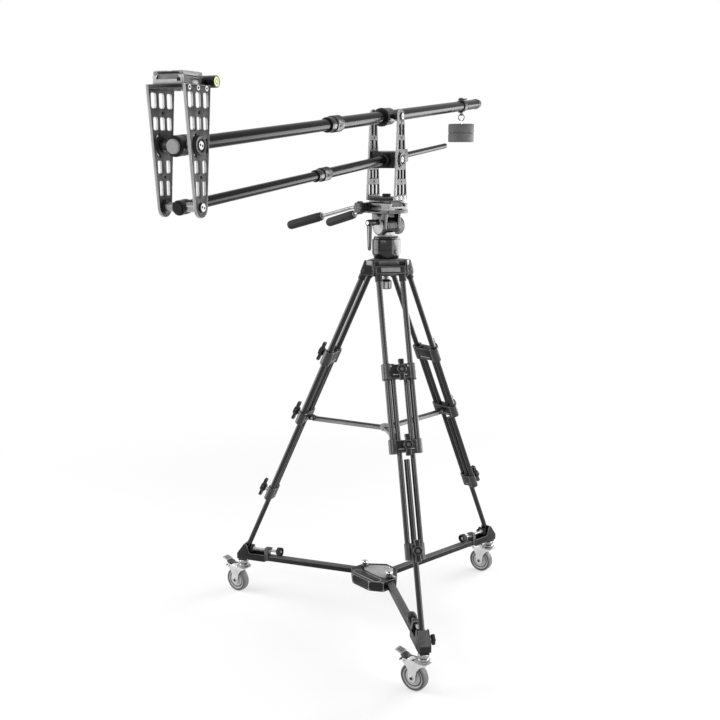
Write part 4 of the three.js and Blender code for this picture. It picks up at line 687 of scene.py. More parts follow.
def footScrew(side, place):
    outer = dolly["padOuter"]
    cup = lathe([(351, 4), (351, 8.5), (348, 13.0), (343, 13.5), (335, 13.5), (333.2, 12.6), (333, 11.4),
                 (335.5, 10.4), (340, 9.6), (342, 4)], steps=60, ring=True)
    parts = [(fluted(cup, "X", 12, 0.9, 334, 349, 12), "plastic"),
             (rod(4.4, 336, 345, chamfer=0.8, steps=6), "steel"),
             (rod(4, 340, outer - 6, steps=24), "steel"),
             (block((outer - 8, outer), 11, 10, 1.4), "rubber"),
             (rod(7, outer - 11, outer - 7, steps=28), "steel")]
    # rings that stand for the thread
    for index in range(12):
        start = 392 + index * 2.6
        parts.append((pipe(4.25, 3.6, start, start + 1.2, chamfer=0.2, steps=20), "steel"))
    dress(f"foot_screw_{side}", place, placed(parts, 0, 0, dolly["screwZ"]))


for side, way in (("near", 1), ("left", -1), ("right", 1)):
    dollyArm(side, armPlaces[side], way)
    footScrew(side, armPlaces[side])

hub = {
    "outline": [(30, 24), (-18, 72), (-70, 72), (-96, 36)],
    "cover": [(22, 14), (-12, 50), (-38, 50), (-48, 36)],
    "low": 112,
    "high": 142,
    "lip": (6, -2.4),  # width and depth
    "lid": (7, -1.6),
    "screws": [(-20, 60), (-20, -60), (14, 0)],
    # half width, half length, top, finish
    # the wider trough leaves a light grey rim round the black one: painted highlight
    "troughs": [(13.5, 56, 141.2, "trimLine"), (11.5, 54, 141.5, "castBlack")],
    "knobReach": 62,
}


def dollyHub():
    body = slab(bothSides(hub["outline"]), hub["low"], hub["high"], "Z", bevel=0)
    bmesh.ops.dissolve_limit(body, angle_limit=0.01, verts=body.verts, edges=body.edges)
    # the wide walls get a raised lip, and the top a low rim
    walls = [face for face in body.faces if abs(face.normal.z) < 0.5 and face.calc_area() > 1300]
    bmesh.ops.inset_individual(body, faces=walls, thickness=hub["lip"][0], depth=hub["lip"][1])
    lid = [face for face in body.faces if face.normal.z > 0.5]
    bmesh.ops.inset_individual(body, faces=lid, thickness=hub["lid"][0], depth=hub["lid"][1])
    # the hub's bevels and the cover's rim are painted light grey: painted highlight
    parts = [(eased(body, 1.0), "castBlack", "trimLine"),
             (slab(bothSides(hub["cover"]), 139, 141.7, "Z", bevel=1.0), "coverGrey", "trimLine")]
    for width, long, top, finish in hub["troughs"]:
        trough = arc(0, long - width, width, 0, 180, 14) + arc(0, width - long, width, 180, 360, 14)
        parts.append((shifted(slab(trough, 139, top, "Z", bevel=0.5), -70), finish))
    parts += [(shifted(rod(6, 138, 144.2, "Z", 1.0, 24), x, y), "steel") for x, y in hub["screws"]]
    dress("dolly_hub", armPlaces["right"], parts)


def hubKnob(side):
    cone = [(-7.9, 0), (-7.9, 4), (0.6, 4), (0.6, 9.4), (2, 10.4), (5, 9.4), (8.4, 6), (8.4, 0)]
    dish = [(8, 0), (8, 5.4), (10, 6.6), (12.4, 10), (15.6, 11), (16.8, 10.2), (15.8, 8.4), (14.6, 5.6),
            (14.4, 0)]
    dress(f"hub_knob_{side}", armPlaces[side] @ shift(hub["knobReach"], 0, hub["high"] + 0.3), [
        (fluted(lathe(cone, "Z", 64), "Z", 8, 1.0, 0.5, 6, 9), "plastic"),
        (lathe(dish, "Z", 64), "zinc"),
        (rod(3, 14, 16.6, "Z", 0.6, 24), "plastic"),
    ])


dollyHub()
hubKnob("left")
hubKnob("near")
print("dolly built")

# Tripod

leg = {
    "hingeRadius": 50.1,
    "hingeHeight": 1042,
    "footRadius": 462,
    "footHeight": 124.4,
    "outerHalf": 34,
    "middleHalf": 18,
    "outerTube": 8,
    "middleTube": 7,
    "lowerTube": 7.5,
    "lowerTop": -524,
    # castings: place, half height, reach across, bore, sleeve radius, half depth, knob face
    "slide": (-286, 22, 34, 8.6, 14, 11.6, 14),
    "stop": (-489, 19, 34, 8.3, 12, 11, 13),
    "clamp": (-765, 22, 15.5, 7.5, 11.5, 12, 13),
}
legRun = leg["footRadius"] - leg["hingeRadius"]
legDrop = leg["hingeHeight"] - leg["footHeight"]
legLength = math.hypot(legRun, legDrop)
legLean = math.degrees(math.atan2(legRun, legDrop))


def wingKnob(face, z):
    boss = [(9, 0), (9, 9), (11, 12.4), (13, 13.4), (22, 13.4), (24.4, 12), (24.4, 9.6), (23.2, 8.6),
            (23.2, 0)]
    side = [(8, 27), (6, 29), (-6, 29), (-8, 27), (-6.2, 12)]
    wing = side + [(-y, -along) for y, along in side]
    return placed([
        (rod(5, face - 2, face + 11, chamfer=0.5, steps=24), "steel"),
        (rod(8, face, face + 3, steps=30), "steel"),
        (lathe(moved(face, boss), steps=44), *plasticPair),
        (pipe(11.8, 10.4, face + 24.0, face + 24.8, chamfer=0.2, steps=44), "castEdge"),
        (rod(5.4, face + 23, face + 24.6, chamfer=0.4, steps=6), "castEdge"),
        (slab(wing, face + 14, face + 23, "X", bevel=1.6), *plasticPair),
    ], 0, 0, z)


def clampCasting(z, half, reach, bore, sleeve, deep, face):
    # two sleeves around the tubes, a ridged bridge between them, and the knob
    low, high = z - half, z + half
    ridge = z - half * 0.42
    parts = [(shifted(pipe(sleeve, bore, low, high, "Z", 1.0), 0, way * reach), "sleeve") for way in (-1, 1)]
    parts.append((block(deep, reach - sleeve * 0.4, (low + 3, high - 3), 1.6), *castPair))
    # the ridge lines on the bridge are painted light grey: painted highlight along the ridges
    for way in (-1, 1):
        line = block(span(way, deep - 0.6, deep + 1.0), reach - sleeve, (ridge - 1.2, ridge + 1.2), 0.4)
        parts.append((line, "trimLine"))
    return parts + wingKnob(face, z)


def tripodLeg(side):
    at = armPlaces[side] @ shift(leg["hingeRadius"], 0, leg["hingeHeight"]) @ turn(-legLean, "Y")
    outer, middle = leg["outerHalf"], leg["middleHalf"]
    slideZ, stopZ, clampZ = leg["slide"][0], leg["stop"][0], leg["clamp"][0]
    parts = [(block(10, 42, 12, 2.4), *castPair), (block((9.4, 11), 27, 6.5, 0.6), "capGrey", "castEdge"),
             (rod(5, -47, 47, "Y"), "steel")]
    for way in (-1, 1):
        parts += [(shifted(rod(leg["outerTube"], stopZ - 18, -6, "Z"), 0, way * outer), "legBlack"),
                  (shifted(pipe(10.2, 8.2, -30, -10, "Z", 0.8), 0, way * outer), "castBlack")]
    dress(f"leg_outer_{side}", at, parts + clampCasting(*leg["stop"]))

    parts = []
    for way in (-1, 1):
        tube = rod(leg["middleTube"], clampZ - 22, slideZ + 22, "Z")
        parts += [(shifted(tube, 0, way * middle), "legBlack"),
                  (shifted(rod(3, 9, 11.8, "X", 0.5, 20), 0, way * (outer - 10), slideZ + 14), "steel")]
    dress(f"leg_middle_{side}", at, parts + clampCasting(*leg["slide"]) + clampCasting(*leg["clamp"]))

    foot = lathe(moved(-legLength, [(0, 0), (0, 7), (3, 10), (20, 10), (26, 8.4), (26, 0)]), "Z", 48)
    dress(f"leg_lower_{side}", at, [
        (rod(leg["lowerTube"], 20 - legLength, leg["lowerTop"], "Z"), "legBlack"),
        (fluted(foot, "Z", 12, 0.7, 4 - legLength, 19 - legLength, 9), "rubber"),
    ])


for side in armTurns:
    tripodLeg(side)

crown = {
    "low": 1028,
    "flange": 1056,
    "high": 1070,
    "face": 43,
    "half": 49.6,
    "bowl": 34,
    "socket": (33, 38),
    "bolt": 9.4,
}


def hexOutline(face, half):
    corners = [turn(angle) @ Vector((face, way * half, 0)) for angle in armTurns.values() for way in (-1, 1)]
    corners.sort(key=lambda corner: math.atan2(corner.y, corner.x))
    return [(corner.x, corner.y) for corner in corners]


def tripodCrown():
    low, flange, high = crown["low"], crown["flange"], crown["high"]
    top = slab(hexOutline(crown["face"], crown["half"]), flange, high, "Z",
               [arc(0, 0, crown["bowl"], 360, 8, 44)], 1.4)
    socket = slab(hexOutline(*crown["socket"]), low, flange + 1, "Z",
                  [arc(0, 0, crown["bolt"], 360, 12, 29)], 1.0)
    parts = [(top, *castPair), (socket, "castBlack"),
             (pipe(35.6, 33.6, high - 3, high + 0.8, "Z", 0.5, 64), "castEdge")]
    lug = [(20, low), (60, low), (60, low + 12), (48, high), (20, high)]
    for angle in armTurns.values():
        lugs = []
        for way in (-1, 1):
            head = rod(5.4, *span(way, 48.8, 51.4), "Y", 0.9, 6)
            lugs += [(slab(lug, *span(way, 42.6, crown["half"]), bevel=1.3), *castPair),
                     (shifted(head, leg["hingeRadius"], 0, leg["hingeHeight"]), "sleeve"),
                     (block((42, 44.4), span(way, 41.5, 27.5), (1057.5, 1068.5), 0.8), *castPair)]
        # the framed panel between the lugs
        lugs += [(block((42.4, 43.5), 25, (1058.5, 1067.5), 1.0), "castEdge"),
                 (block((42.6, 44.2), 22.5, (1060.5, 1065.5), 0.8, 3), "castGrey")]
        parts += turned(lugs, angle)
    dress("tripod_crown", centre, parts)


spreader = {
    "z": 581,
    "rise": 9,
    "hub": 16,
    "legGap": 13,
    "bars": [
        # end before the leg, low, high, half width, bevel, finish
        (12, -8, 3, 6, 1.0, "capGrey"),
        (14, 2, 4.6, 6.8, 0.5, "castBlack"),
    ],
}


def midSpreader():
    z, wide, gap = spreader["z"], spreader["hub"], spreader["legGap"]
    armZ = z + spreader["rise"]
    core = [(-9, 0), (-9, 12), (-7.5, 14), (-5, 14.4), (-4, wide), (4, wide), (5, 14.4), (8, 14), (9, 12),
            (9, 7), (7.6, 6), (7.6, 0)]
    parts = [(lathe(moved(z, core), "Z"), "capGrey")]
    lean = math.radians(legLean)
    along = (leg["hingeHeight"] - armZ - gap * math.sin(lean)) / math.cos(lean)
    face = leg["hingeRadius"] + along * math.sin(lean) - gap * math.cos(lean) - 0.6
    ends = moved(face, [(-22, -5), (-2.6, -5.6), (-0.4, 4), (-3, 8), (-12, 8), (-22, 4)], armZ)
    for angle in armTurns.values():
        strut = []
        for back, low, high, half, bevel, finish in spreader["bars"]:
            line = [(8, z + low), (face - back, armZ + low), (face - back, armZ + high), (8, z + high)]
            strut.append((slab(line, -half, half, bevel=bevel), finish))
        strut += [(slab(ends, -10, 10, bevel=1.2), *castPair),
                  (shifted(rod(3.6, -11.4, 11.4, "Y", 0.6, 20), face - 12, 0, armZ + 1), "steel")]
        parts += turned(strut, angle)
    dress("mid_spreader", centre, parts)


bowlGrip = {"low": 986, "top": 1010, "radius": 17}


def bowlKnob():
    low, top, radius = bowlGrip["low"], bowlGrip["top"], bowlGrip["radius"]
    grip = [(low, 0), (low, 13), (low + 3, radius), (top - 3, radius), (top, 14)]
    grip += moved(top, [(4, 9), (14, 9), (14, 21), (14.8, 22), (17.7, 22), (17.7, 8), (50, 8), (50, 0)])
    dress("bowl_knob", centre, [
        (fluted(lathe(grip, "Z", 96), "Z", 12, 2.2, low + 1, top - 1, 12.5), "knobChrome"),
        (rod(6, low, low + 4, "Z", 0.4), "castEdge"),
    ])


tripodCrown()
midSpreader()
bowlKnob()
print("tripod built")

# Fluid head: X is the plate's long way and Y the tilt axis

headPlace = centre @ turn(-45)
head = {
    "axis": 1162,
    "seat": 1127,
    "flat": (5, 36.5),  # its turn and its distance
    "platform": (1198, 1208),
    "clampTop": 1226,
    "channel": 1218,
    "plateTop": 1234,
    "plateHalf": 42,
    "rosette": (-34, 1214),
    "rosetteFace": 46,
    "leverAt": (-62.3, 1174),
}


def headBase():
    seat = head["seat"]
    body = lathe([(1060.3, 0), (1060.3, 33), (1071, 33), (1074, 34.6), (1086, 39.6), (1088, 40), (1097, 40),
                  (1097.6, 39.4), (1098.4, 39.4), (1099, 40), (seat - 3, 40), (seat - 1, 39), (seat, 37),
                  (seat, 0)], "Z", 96)
    # the flat that carries the pan lock
    angle, reach = head["flat"]
    cut = Vector((math.cos(math.radians(angle)), math.sin(math.radians(angle)), 0))
    geom = body.verts[:] + body.edges[:] + body.faces[:]
    trimmed = bmesh.ops.bisect_plane(body, geom=geom, plane_co=cut * reach, plane_no=cut, clear_outer=True)
    rims = [item for item in trimmed["geom_cut"] if isinstance(item, bmesh.types.BMEdge)]
    bmesh.ops.contextual_create(body, geom=rims)
    bmesh.ops.recalc_face_normals(body, faces=body.faces)
    dress("head_base", headPlace, [
        (body, "headPaint"),
        (block((32, 38.6), (-9, 3), (1088, 1098), 1.2), "plastic"),
        (shifted(gripKnob(5.4, 36, 39.8, "X", 6, 0.8, 0.8), 0, -3, 1093), "plastic"),
        (pipe(33.6, 32, 1070.6, 1073, "Z", 0.5, 64), "castEdge"),
    ])


def panBody():
    axis, seat = head["axis"], head["seat"]
    table = [(0.3, 0), (0.3, 35), (1, 36), (4, 36), (4.8, 35), (7, 33), (7, 0)]
    drum = [(-20, 0), (-20, 22.6), (-18.6, 24), (-13, 24), (-12.4, 23.2), (-11.6, 23.2), (-11, 24)]
    dress("pan_body", headPlace, [
        (lathe(moved(seat, table), "Z", 72), "headPaint"),
        (block(17, 19, (1132, axis), 3.0, 3), "silverCap"),
        (shifted(lathe(bothEnds(drum), "Y", 72), 0, 0, axis), "headPaint"),
        (shifted(rod(9, -34, 34, "Y"), 0, 0, axis), "steel"),
    ])


def dovetailClamp(half, width, low, high, floor, foot, neck):
    outline = bothEnds([(width, low), (width, high), (neck, high), (foot, floor)])
    return slab(outline, -half, half, "X", bevel=0.9)


def tiltCradle():
    axis, face = head["axis"], head["rosetteFace"]
    low, high = head["platform"]
    bed = (high - 1, high + 4)
    cheek = arc(0, axis, 24, 180, 360, 24) + [(26, low - 6), (26, low + 2), (-26, low + 2), (-26, low - 6)]
    parts = [(slab(cheek, *span(way, 22, 32), bevel=1.6), *headPair) for way in (-1, 1)]
    parts += [(block(48, 38, (low, high), 1.8), *headPair),
              (dovetailClamp(46, 37, high + 3.2, head["clampTop"], head["channel"] - 0.3, 28.3, 24.3),
               "clampGrey"),
              (block((-46, 36), 37, bed, 0.6), "clampGrey")]
    parts += [(block((30, 46), span(way, 37, 15.5), bed, 0.6), "clampGrey") for way in (-1, 1)]
    # the level's window, and the plate lock lever on the near long side
    parts += [(block((47.2, 48.25), 14, (low + 3.2, low + 6.8), 0.3), "plastic"),
              (block((-30, 12), (-40.5, -36.5), (1213, 1222), 1.6), *plasticPair)]
    for way in (-1, 1):
        disc = rod(14, *span(way, 26, face), "Y", 0.9, 64)
        rosette = [(fluted(disc, "Y", 16, 1.2, *span(way, face, face - 2), 11), "headPaint"),
                   (pipe(15, 12, *span(way, 36, 40), "Y", 0.6), "castEdge")]
        parts += placed(rosette, head["rosette"][0], 0, head["rosette"][1])
    # drum cap on the near side, drag rings on the far side
    cap = lathe([(-35, 0), (-35, 10), (-34.2, 11), (-34.2, 16), (-35, 17), (-35, 19), (-34, 20), (-31, 20),
                 (-31, 0)], "Y", 64)
    rings = [(31, 0), (31, 22)]
    for start in (32, 38, 44):
        rings += moved(start, [(0, 22), (2.4, 22), (3.4, 24), (4, 25), (5.4, 25), (6, 24)])
    rings += [(50, 22), (50, 12), (49.2, 11), (49.2, 0)]
    stack = fluted(lathe(rings, "Y", 120), "Y", 30, 0.6, 35, 37.6, 23.5)
    boss = lathe([(-62, 0), (-62, 8), (-61, 9), (-52, 9), (-50, 7.6), (-36, 7.6), (-34, 9), (-31, 9),
                  (-31, 0)], "Y", 40)
    parts += placed([(cap, "silverCap"), (stack, "silverCap")], 0, 0, axis)
    parts.append((shifted(boss, 0, 0, head["leverAt"][1]), "headPaint"))
    dress("tilt_cradle", headPlace, parts)


def quickPlate():
    top, half = head["plateTop"], head["plateHalf"]
    pad = (top - 1.4, top)
    profile = bothEnds([(28, head["channel"]), (24, head["clampTop"]), (26, head["clampTop"] + 0.4),
                        (26, top - 0.9)])
    parts = [(slab(profile, -half, half, "X", bevel=0.6), *headPair)]
    for way in (-1, 1):
        parts += [(block(40, span(way, 25, 22.6), pad, 0.3), *castPair),
                  (block((30.5, 40), span(way, 21, 6), pad, 0.3), "rubber")]
        for start in (0, 5.2, 10.4):
            parts.append((block((-39, 28), span(way, 6.5 + start, 10 + start), pad, 0.4), "rubber"))
    parts += [(block(14, 4.4, (top - 1.2, top - 0.2), 0.4), "steel"),
              (shifted(rod(3.2, top - 1, top, "Z", 0.3, 30), -24), "steel"),
              (block((half - 0.4, half), 14.6, (1228.6, 1231.6), 0.1), "plastic")]
    dress("quick_plate", headPlace, parts)


handle = {
    "straight": 40,
    "bend": 14,
    "rod": 5,
    "slope": 15,
    "length": 112,
    "grip": 118,
    "gripRadius": 13,
    "hub": 14,
    "gap": 0.3,
    "knobRadius": 18,
    "knobDepth": 20,
}


def panHandle(side, way, splay):
    half, gap, corner = handle["hub"] / 2, handle["gap"], handle["bend"]
    backX, z = head["rosette"]
    at = headPlace @ shift(backX, way * (head["rosetteFace"] + gap + half), z)
    hubDisc = fluted(rod(14, -half, half, "Y", 1.0, 64), "Y", 16, 1.0, *span(-way, half, half - 2), 11)
    slope, aside = math.radians(handle["slope"]), math.radians(splay)
    down = -Vector((math.cos(slope) * math.cos(aside), math.cos(slope) * math.sin(aside), math.sin(slope)))
    bend = Vector((-handle["straight"], 0, 0))
    path = [Vector((-4, 0, 0)), bend + Vector((corner, 0, 0))]
    for step in (0.2, 0.4, 0.6, 0.8):
        path.append(bend + Vector((corner * (1 - step) ** 2, 0, 0)) + down * corner * step ** 2)
    start, end = handle["length"], handle["length"] + handle["grip"]
    path += [bend + down * corner, bend + down * (start + 6)]
    radius = handle["gripRadius"]
    foam = moved(start, [(-2, 0), (-2, 8), (0, 11.6), (3, 12.4), (5, 11.4), (7, 12.2), (12, radius)])
    foam += moved(end, [(-12, radius), (-7, 12.2), (-3, 10), (-0.6, 5.6), (0, 0)])
    foam = lathe(foam, "Z", 48)
    ring = pipe(9.4, 4.8, start - 5, start - 0.5, "Z", 0.8)
    onBar = Matrix.Translation(bend) @ down.to_track_quat("Z", "Y").to_matrix().to_4x4()
    for shape in (foam, ring):
        bmesh.ops.transform(shape, matrix=onBar, verts=shape.verts)
    dress(f"pan_handle_{side}", at, [
        (hubDisc, "headPaint"),
        (sweep(path, handle["rod"]), "barGrey"),
        (foam, "foam"),
        (ring, "castEdge"),
        (rod(7.4, -20, -2, chamfer=1.4, steps=32), "headPaint"),
    ])
    near, far = half + gap, half + gap + handle["knobDepth"]
    dress(f"handle_knob_{side}", at, [
        (gripKnob(handle["knobRadius"], *span(way, near, far), "Y", 8, 2.4, 2.6), "plastic"),
        (rod(7, *span(way, far, far - 1.6), "Y", 0.4, 36), "castEdge"),
    ])


def tiltLever():
    y, z = head["leverAt"]
    hubDisc = lathe([(-13, 0), (-13, 7), (-12, 8.4), (-9, 9), (-1, 9), (0, 8), (0, 0)], "Y", 44)
    outline = [(-8.5, 0), (-8.2, -12), (-4.8, -70), (-3.4, -75), (0, -76), (3.4, -75), (4.8, -70),
               (8.2, -12), (8.5, 0)]
    dress("tilt_lever", headPlace @ shift(0, y, z), [
        (hubDisc, "plastic"),
        (slab(outline, -8, -2, bevel=1.4, segments=3), *plasticPair),
        (slab([(-3.4, -4), (-1.6, -66), (1.6, -66), (3.4, -4)], -9, -7.4, bevel=0.6), "capGrey"),
        (rod(4.4, -13.2, -12.4, "Y", 0.2, 30), "steel"),
    ])


headBase()
panBody()
tiltCradle()
quickPlate()
panHandle("near", -1, 15)
panHandle("far", 1, 0)
tiltLever()
print("head built")

# Jib: X runs towards the counterweight

jib = {
    "seat": 1234.3,
    "turn": 65,
    "rise": 5,
    "gap": 38,
    "fit": 0.3,
    "plate": 6,
    "halfPlate": 42,
    "foot": 110,
    "spacing": 115,
    "tip": 20,
    "front": 978,
    "rear": 780,
}
jibPlace = centre @ shift(0, 0, jib["seat"]) @ turn(jib["turn"])
plateLength = jib["foot"] + jib["spacing"]
upperPlace = jibPlace @ shift(0, 0, plateLength) @ turn(-jib["rise"], "Y")
lowerPlace = jibPlace @ shift(0, 0, jib["foot"]) @ turn(-jib["rise"], "Y")
cameraPlace = upperPlace @ shift(-jib["front"]) @ turn(jib["rise"], "Y")
insideHalf = jib["gap"] - jib["fit"]

plateCuts = {
    # steps across, width, low and high
    "rows": [
        ((-25, 0, 25), 17.5, 14, 42),
        ((-21.5, 0, 21.5), 15, 58, 82),
        ((-13.5, 13.5), 13, 138, 162),
        ((-11, 11), 11, 176, 204),
    ],
    "sideSlot": (22, 6, 98, 124),
    "arcSlot": (20.4, 25.8, 118, 242),
    "smallHoles": [(50, 2.6), (169, 2.6)],
    "screws": [(-28, 6), (0, 6), (28, 6)],
    "pivot": 9.3,
}


def slotLoop(x, width, low, high):
    half, corner = width / 2, width / 6
    return [(x - half, low + corner), (x - half + corner, low), (x + half - corner, low),
            (x + half, low + corner), (x + half, high - corner), (x + half - corner, high),
            (x - half + corner, high), (x - half, high - corner)]


def sidePlate(node, place, way, hangs=False):
    # wide end at zero, tip at the far end; one that hangs is turned over
    foot, wide, tip = jib["foot"], jib["halfPlate"], jib["tip"]
    outer = jib["gap"] + jib["plate"]
    lean = math.degrees(math.asin((wide - tip) / plateLength))
    outline = [(-wide, 0), (wide, 0)] + arc(0, plateLength, tip, lean, 180 - lean, 20)
    holes = [slotLoop(x, width, a, b) for steps, width, a, b in plateCuts["rows"] for x in steps]
    slots = len(holes)
    holes.append(slotLoop(*plateCuts["sideSlot"]))
    near, far, start, end = plateCuts["arcSlot"]
    holes.append(arc(0, foot, far, start, end, 12) + arc(0, foot, near, end, start, 12))
    holes += [arc(0, z, radius, 0, 340, 17) for z, radius in plateCuts["smallHoles"]]
    holes += [arc(0, z, plateCuts["pivot"], 0, 350, 35) for z in (foot, plateLength)]
    paint, bore = ("framePaint", "boreMetal") if hangs else ("platePaint", "rubber")
    body = slab(outline, *span(way, jib["gap"], outer), "Y", holes, 0.9, bores=slots)
    ring = lathe([(0, 12), (0, 17.4), (0.6, 18), (2.2, 18), (3, 17.2), (3, 13.4), (2.2, 12)], "Y", 56, True)
    ring = ring if way > 0 else mirroredY(ring)
    # the plate's outer wall and its bevels take the lighter grey edge colour: painted highlight
    parts = [(body, paint, "plateEdge", bore), (shifted(ring, 0, way * (outer - 0.001), foot), "castBlack")]
    for x, z in plateCuts["screws"]:
        screw = [(pipe(4.6, 2.8, *span(way, outer - 0.6, outer + 0.5), "Y", 0.25, 28), "steel"),
                 (rod(3.0, *span(way, outer - 0.6, outer + 0.2), "Y", 0.1, 6), "rubber")]
        parts += placed(screw, x, 0, z)
    for z in (foot, plateLength):
        washer = pipe(11.2, 9.4, *span(way, outer - 0.4, outer + 0.15), "Y", 0.1, 40)
        parts.append((shifted(washer, 0, 0, z), "castBlack"))
    dress(node, place, turned(parts, 180, "X") if hangs else parts)


def crossPivot(start, shaft="steel"):
    # trunnions through the plates, shoulders inside and screw heads outside
    inner, outer = insideHalf, jib["gap"] + jib["plate"] + jib["fit"]
    both = []
    for way in (-1, 1):
        parts = [(rod(9, start, outer + 1, "Y", 0.2), shaft),
                 (rod(13, inner - 3, inner, "Y", 0.6), "castBlack"),
                 (rod(10, outer, outer + 1.2, "Y", 0.3, 48), "castBlack"),
                 (rod(8.6, outer + 1, outer + 3, "Y", 0.8, 48), "knobChrome")]
        for x, z in ((-3.4, 1.3), (3.4, -1.3)):
            parts.append((shifted(rod(2.6, outer + 2.4, outer + 3.06, "Y", 0.1, 16), x, 0, z), "rubber"))
        both += toSide(parts, way)
    return both


def bracketBase():
    boss = lathe([(6, 0), (6, 12), (15.6, 12), (17, 10.6), (17, 6.5), (14, 5.6), (14, 0)], "Z", 48)
    parts = [(block(42, insideHalf, (0, 8), 1.2), *castPair)]
    parts += [(block(36, span(way, insideHalf - 6, 15), (7.6, 9), 0.5), *castPair) for way in (-1, 1)]
    dress("bracket_base", jibPlace, parts + [(fluted(boss, "Z", 12, 0.8, 8, 15, 11), "castBlack")])


bracketBase()
framePlace = cameraPlace @ shift(0, 0, jib["foot"])
sidePlate("bracket_plate_left", jibPlace, 1)
sidePlate("bracket_plate_right", jibPlace, -1)
sidePlate("frame_plate_left", framePlace, -1, True)
sidePlate("frame_plate_right", framePlace, 1, True)

boom = {
    "rear": 16,
    "front": 14,
    "sleeve": 23,
    "collarAt": (-367, -341, -301),  # front, step, back
    "collar": (18.5, 20.5),  # smooth and ribbed radius
    "frontBack": -240,
    "rearFront": -350,
    "rearBack": 745,
    "stub": 27,
    "ring": (20, 20),  # radius and half length
}
lowerArm = {
    "rear": 12.5,
    "front": 11,
    "collarAt": (-430, -403, -362),
    "collar": (14.5, 16.5),
    "frontBack": -292,
    "rearFront": -412,
    "rearBack": 461,
    "stub": 18,
    "ring": (14.5, 15),
}


def boomSleeve():
    wide = boom["sleeve"]
    sleeve = lathe([(-42, 16.4), (-42, 23.6), (-40.6, 25), (-36, 25), (-35.2, 24), (-34.4, 25), (-31.4, 25),
                    (-30, 23.4), (-29, wide), (-18, wide), (-17.2, 22.4), (-16.4, wide), (10.6, wide),
                    (12, 21.6), (12, 16.4)], steps=120, ring=True)
    fluted(sleeve, "X", 24, 0.8, -40.8, -31, 23.8)
    dress("boom_sleeve", upperPlace, [(sleeve, "plastic")] + crossPivot(18, "castBlack"))


def twistCollar(node, place, arm):
    front, step, back = arm["collarAt"]
    smooth, ribbed = arm["collar"]
    near, far = arm["front"] + 0.4, arm["rear"] + 0.4
    nose = moved(front, [(0, near), (0, smooth - 1.6), (1.4, smooth), (6, smooth), (6.6, smooth - 0.7),
                         (8, smooth - 0.7), (8.6, smooth)]) + [(step, smooth), (step, near)]
    grip = moved(step, [(0, near), (0, ribbed - 0.8), (0.8, ribbed), (6, ribbed), (8, ribbed)])
    grip += moved(back, [(-8, ribbed), (-4, ribbed), (-1.6, smooth + 0.8), (0, smooth - 0.4), (0, far)])
    grip = fluted(lathe(grip, steps=144, ring=True), "X", 36, 0.9, step + 5, back - 7, ribbed - 0.3)
    dress(node, place, [(lathe(nose, steps=72, ring=True), "plastic"), (grip, "plastic")])


def rearTube(node, place, arm, back, others=()):
    tube = pipe(arm["rear"], arm["rear"] - 1.2, arm["rearFront"], back, chamfer=0.5, steps=64)
    dress(node, place, [(tube, "boomBlack"), *others])


def frontTube(node, place, arm, capFinish):
    pivot, radius = -jib["front"], arm["front"]
    front = pivot - arm["stub"]
    cap = moved(front, [(0, 0), (0, radius - 1.4), (1.2, radius - 0.2), (8, radius - 0.2), (8, 0)])
    wide, half = arm["ring"]
    ring = bothEnds([(-half, radius), (-half, wide - 1.6), (-half + 1.6, wide), (-3, wide), (-2, wide - 0.8)])
    parts = [(pipe(radius, radius - 1.4, front + 6, arm["frontBack"], chamfer=0.5, steps=64), "boomBlack"),
             (lathe(cap, steps=56), capFinish),
             (shifted(lathe(ring, steps=64, ring=True), pivot), "plastic")]
    dress(node, place, parts + placed(crossPivot(wide - 4), pivot))


def boomEndCap():
    start, end = boom["rearBack"] + jib["fit"], jib["rear"]
    cap = moved(start, [(-20, 0), (-20, 14), (0, 14), (0, 16.4), (0.6, 17), (6, 17), (7, 16), (7.6, 14.2),
                        (12, 14.6)])
    cap += moved(end, [(-5, 14.6), (-2.4, 13), (-0.6, 10.4), (0, 6), (0, 0)])
    cap = fluted(lathe(cap, steps=96), "X", 16, 1.1, start + 11, end - 3, 12)
    dress("boom_end_cap", upperPlace, [(cap, "plastic")])


boomSleeve()
rearTube("boom_rear_tube", upperPlace, boom, boom["rearBack"])
twistCollar("boom_collar", upperPlace, boom)
boomEndCap()
frontTube("boom_front_tube", upperPlace, boom, "coverGrey")

weight = {
    "clampAt": 610,
    "clampHalf": 13,
    "eyeDrop": 26,
    "ring": 10,
    "wire": 1.8,
    "sag": 0.3,
    "top": -31,
    "radius": 42,
    "disc": 29,
}


def eyeLug(x, root, eye, way):
    # a lug with a hole, rising or hanging from its root
    rim = [(-7, 0), (-4, 4.4), (0, 5), (4, 4.4), (7, 0)]
    outline = [(x - 7, root)] + [(x + aside, eye + way * up) for aside, up in rim] + [(x + 7, root)]
    return slab(outline, -2.5, 2.5, "Y", [arc(x, eye, 3, 0, 330, 11)], 0.5)


def weightClamp():
    x, half = weight["clampAt"], weight["clampHalf"]
    band = bothEnds([(-half, 16.4), (-half, 18.2), (-half + 0.8, 19)])
    lever = [(-19, 19), (9, 19), (9, 23.4), (3, 26), (-3, 26), (-8, 23), (-19, 24)]
    dress("weight_clamp", upperPlace, [
        (lathe(moved(x, band), steps=56, ring=True), "castBlack"),
        (block((x - 11, x + 11), 19, 6, 1.4), *castPair),
        (block((x - 9, x + 9), 8, (-21, -15.6), 1.2), *castPair),
        (eyeLug(x, -18, -weight["eyeDrop"], -1), *castPair),
        (shifted(rod(4, 17.4, 23, "Z", 0.5, 24), x), "steel"),
        (slab(lever, x - 5, x + 5, "X", bevel=1.0), *plasticPair),
    ])


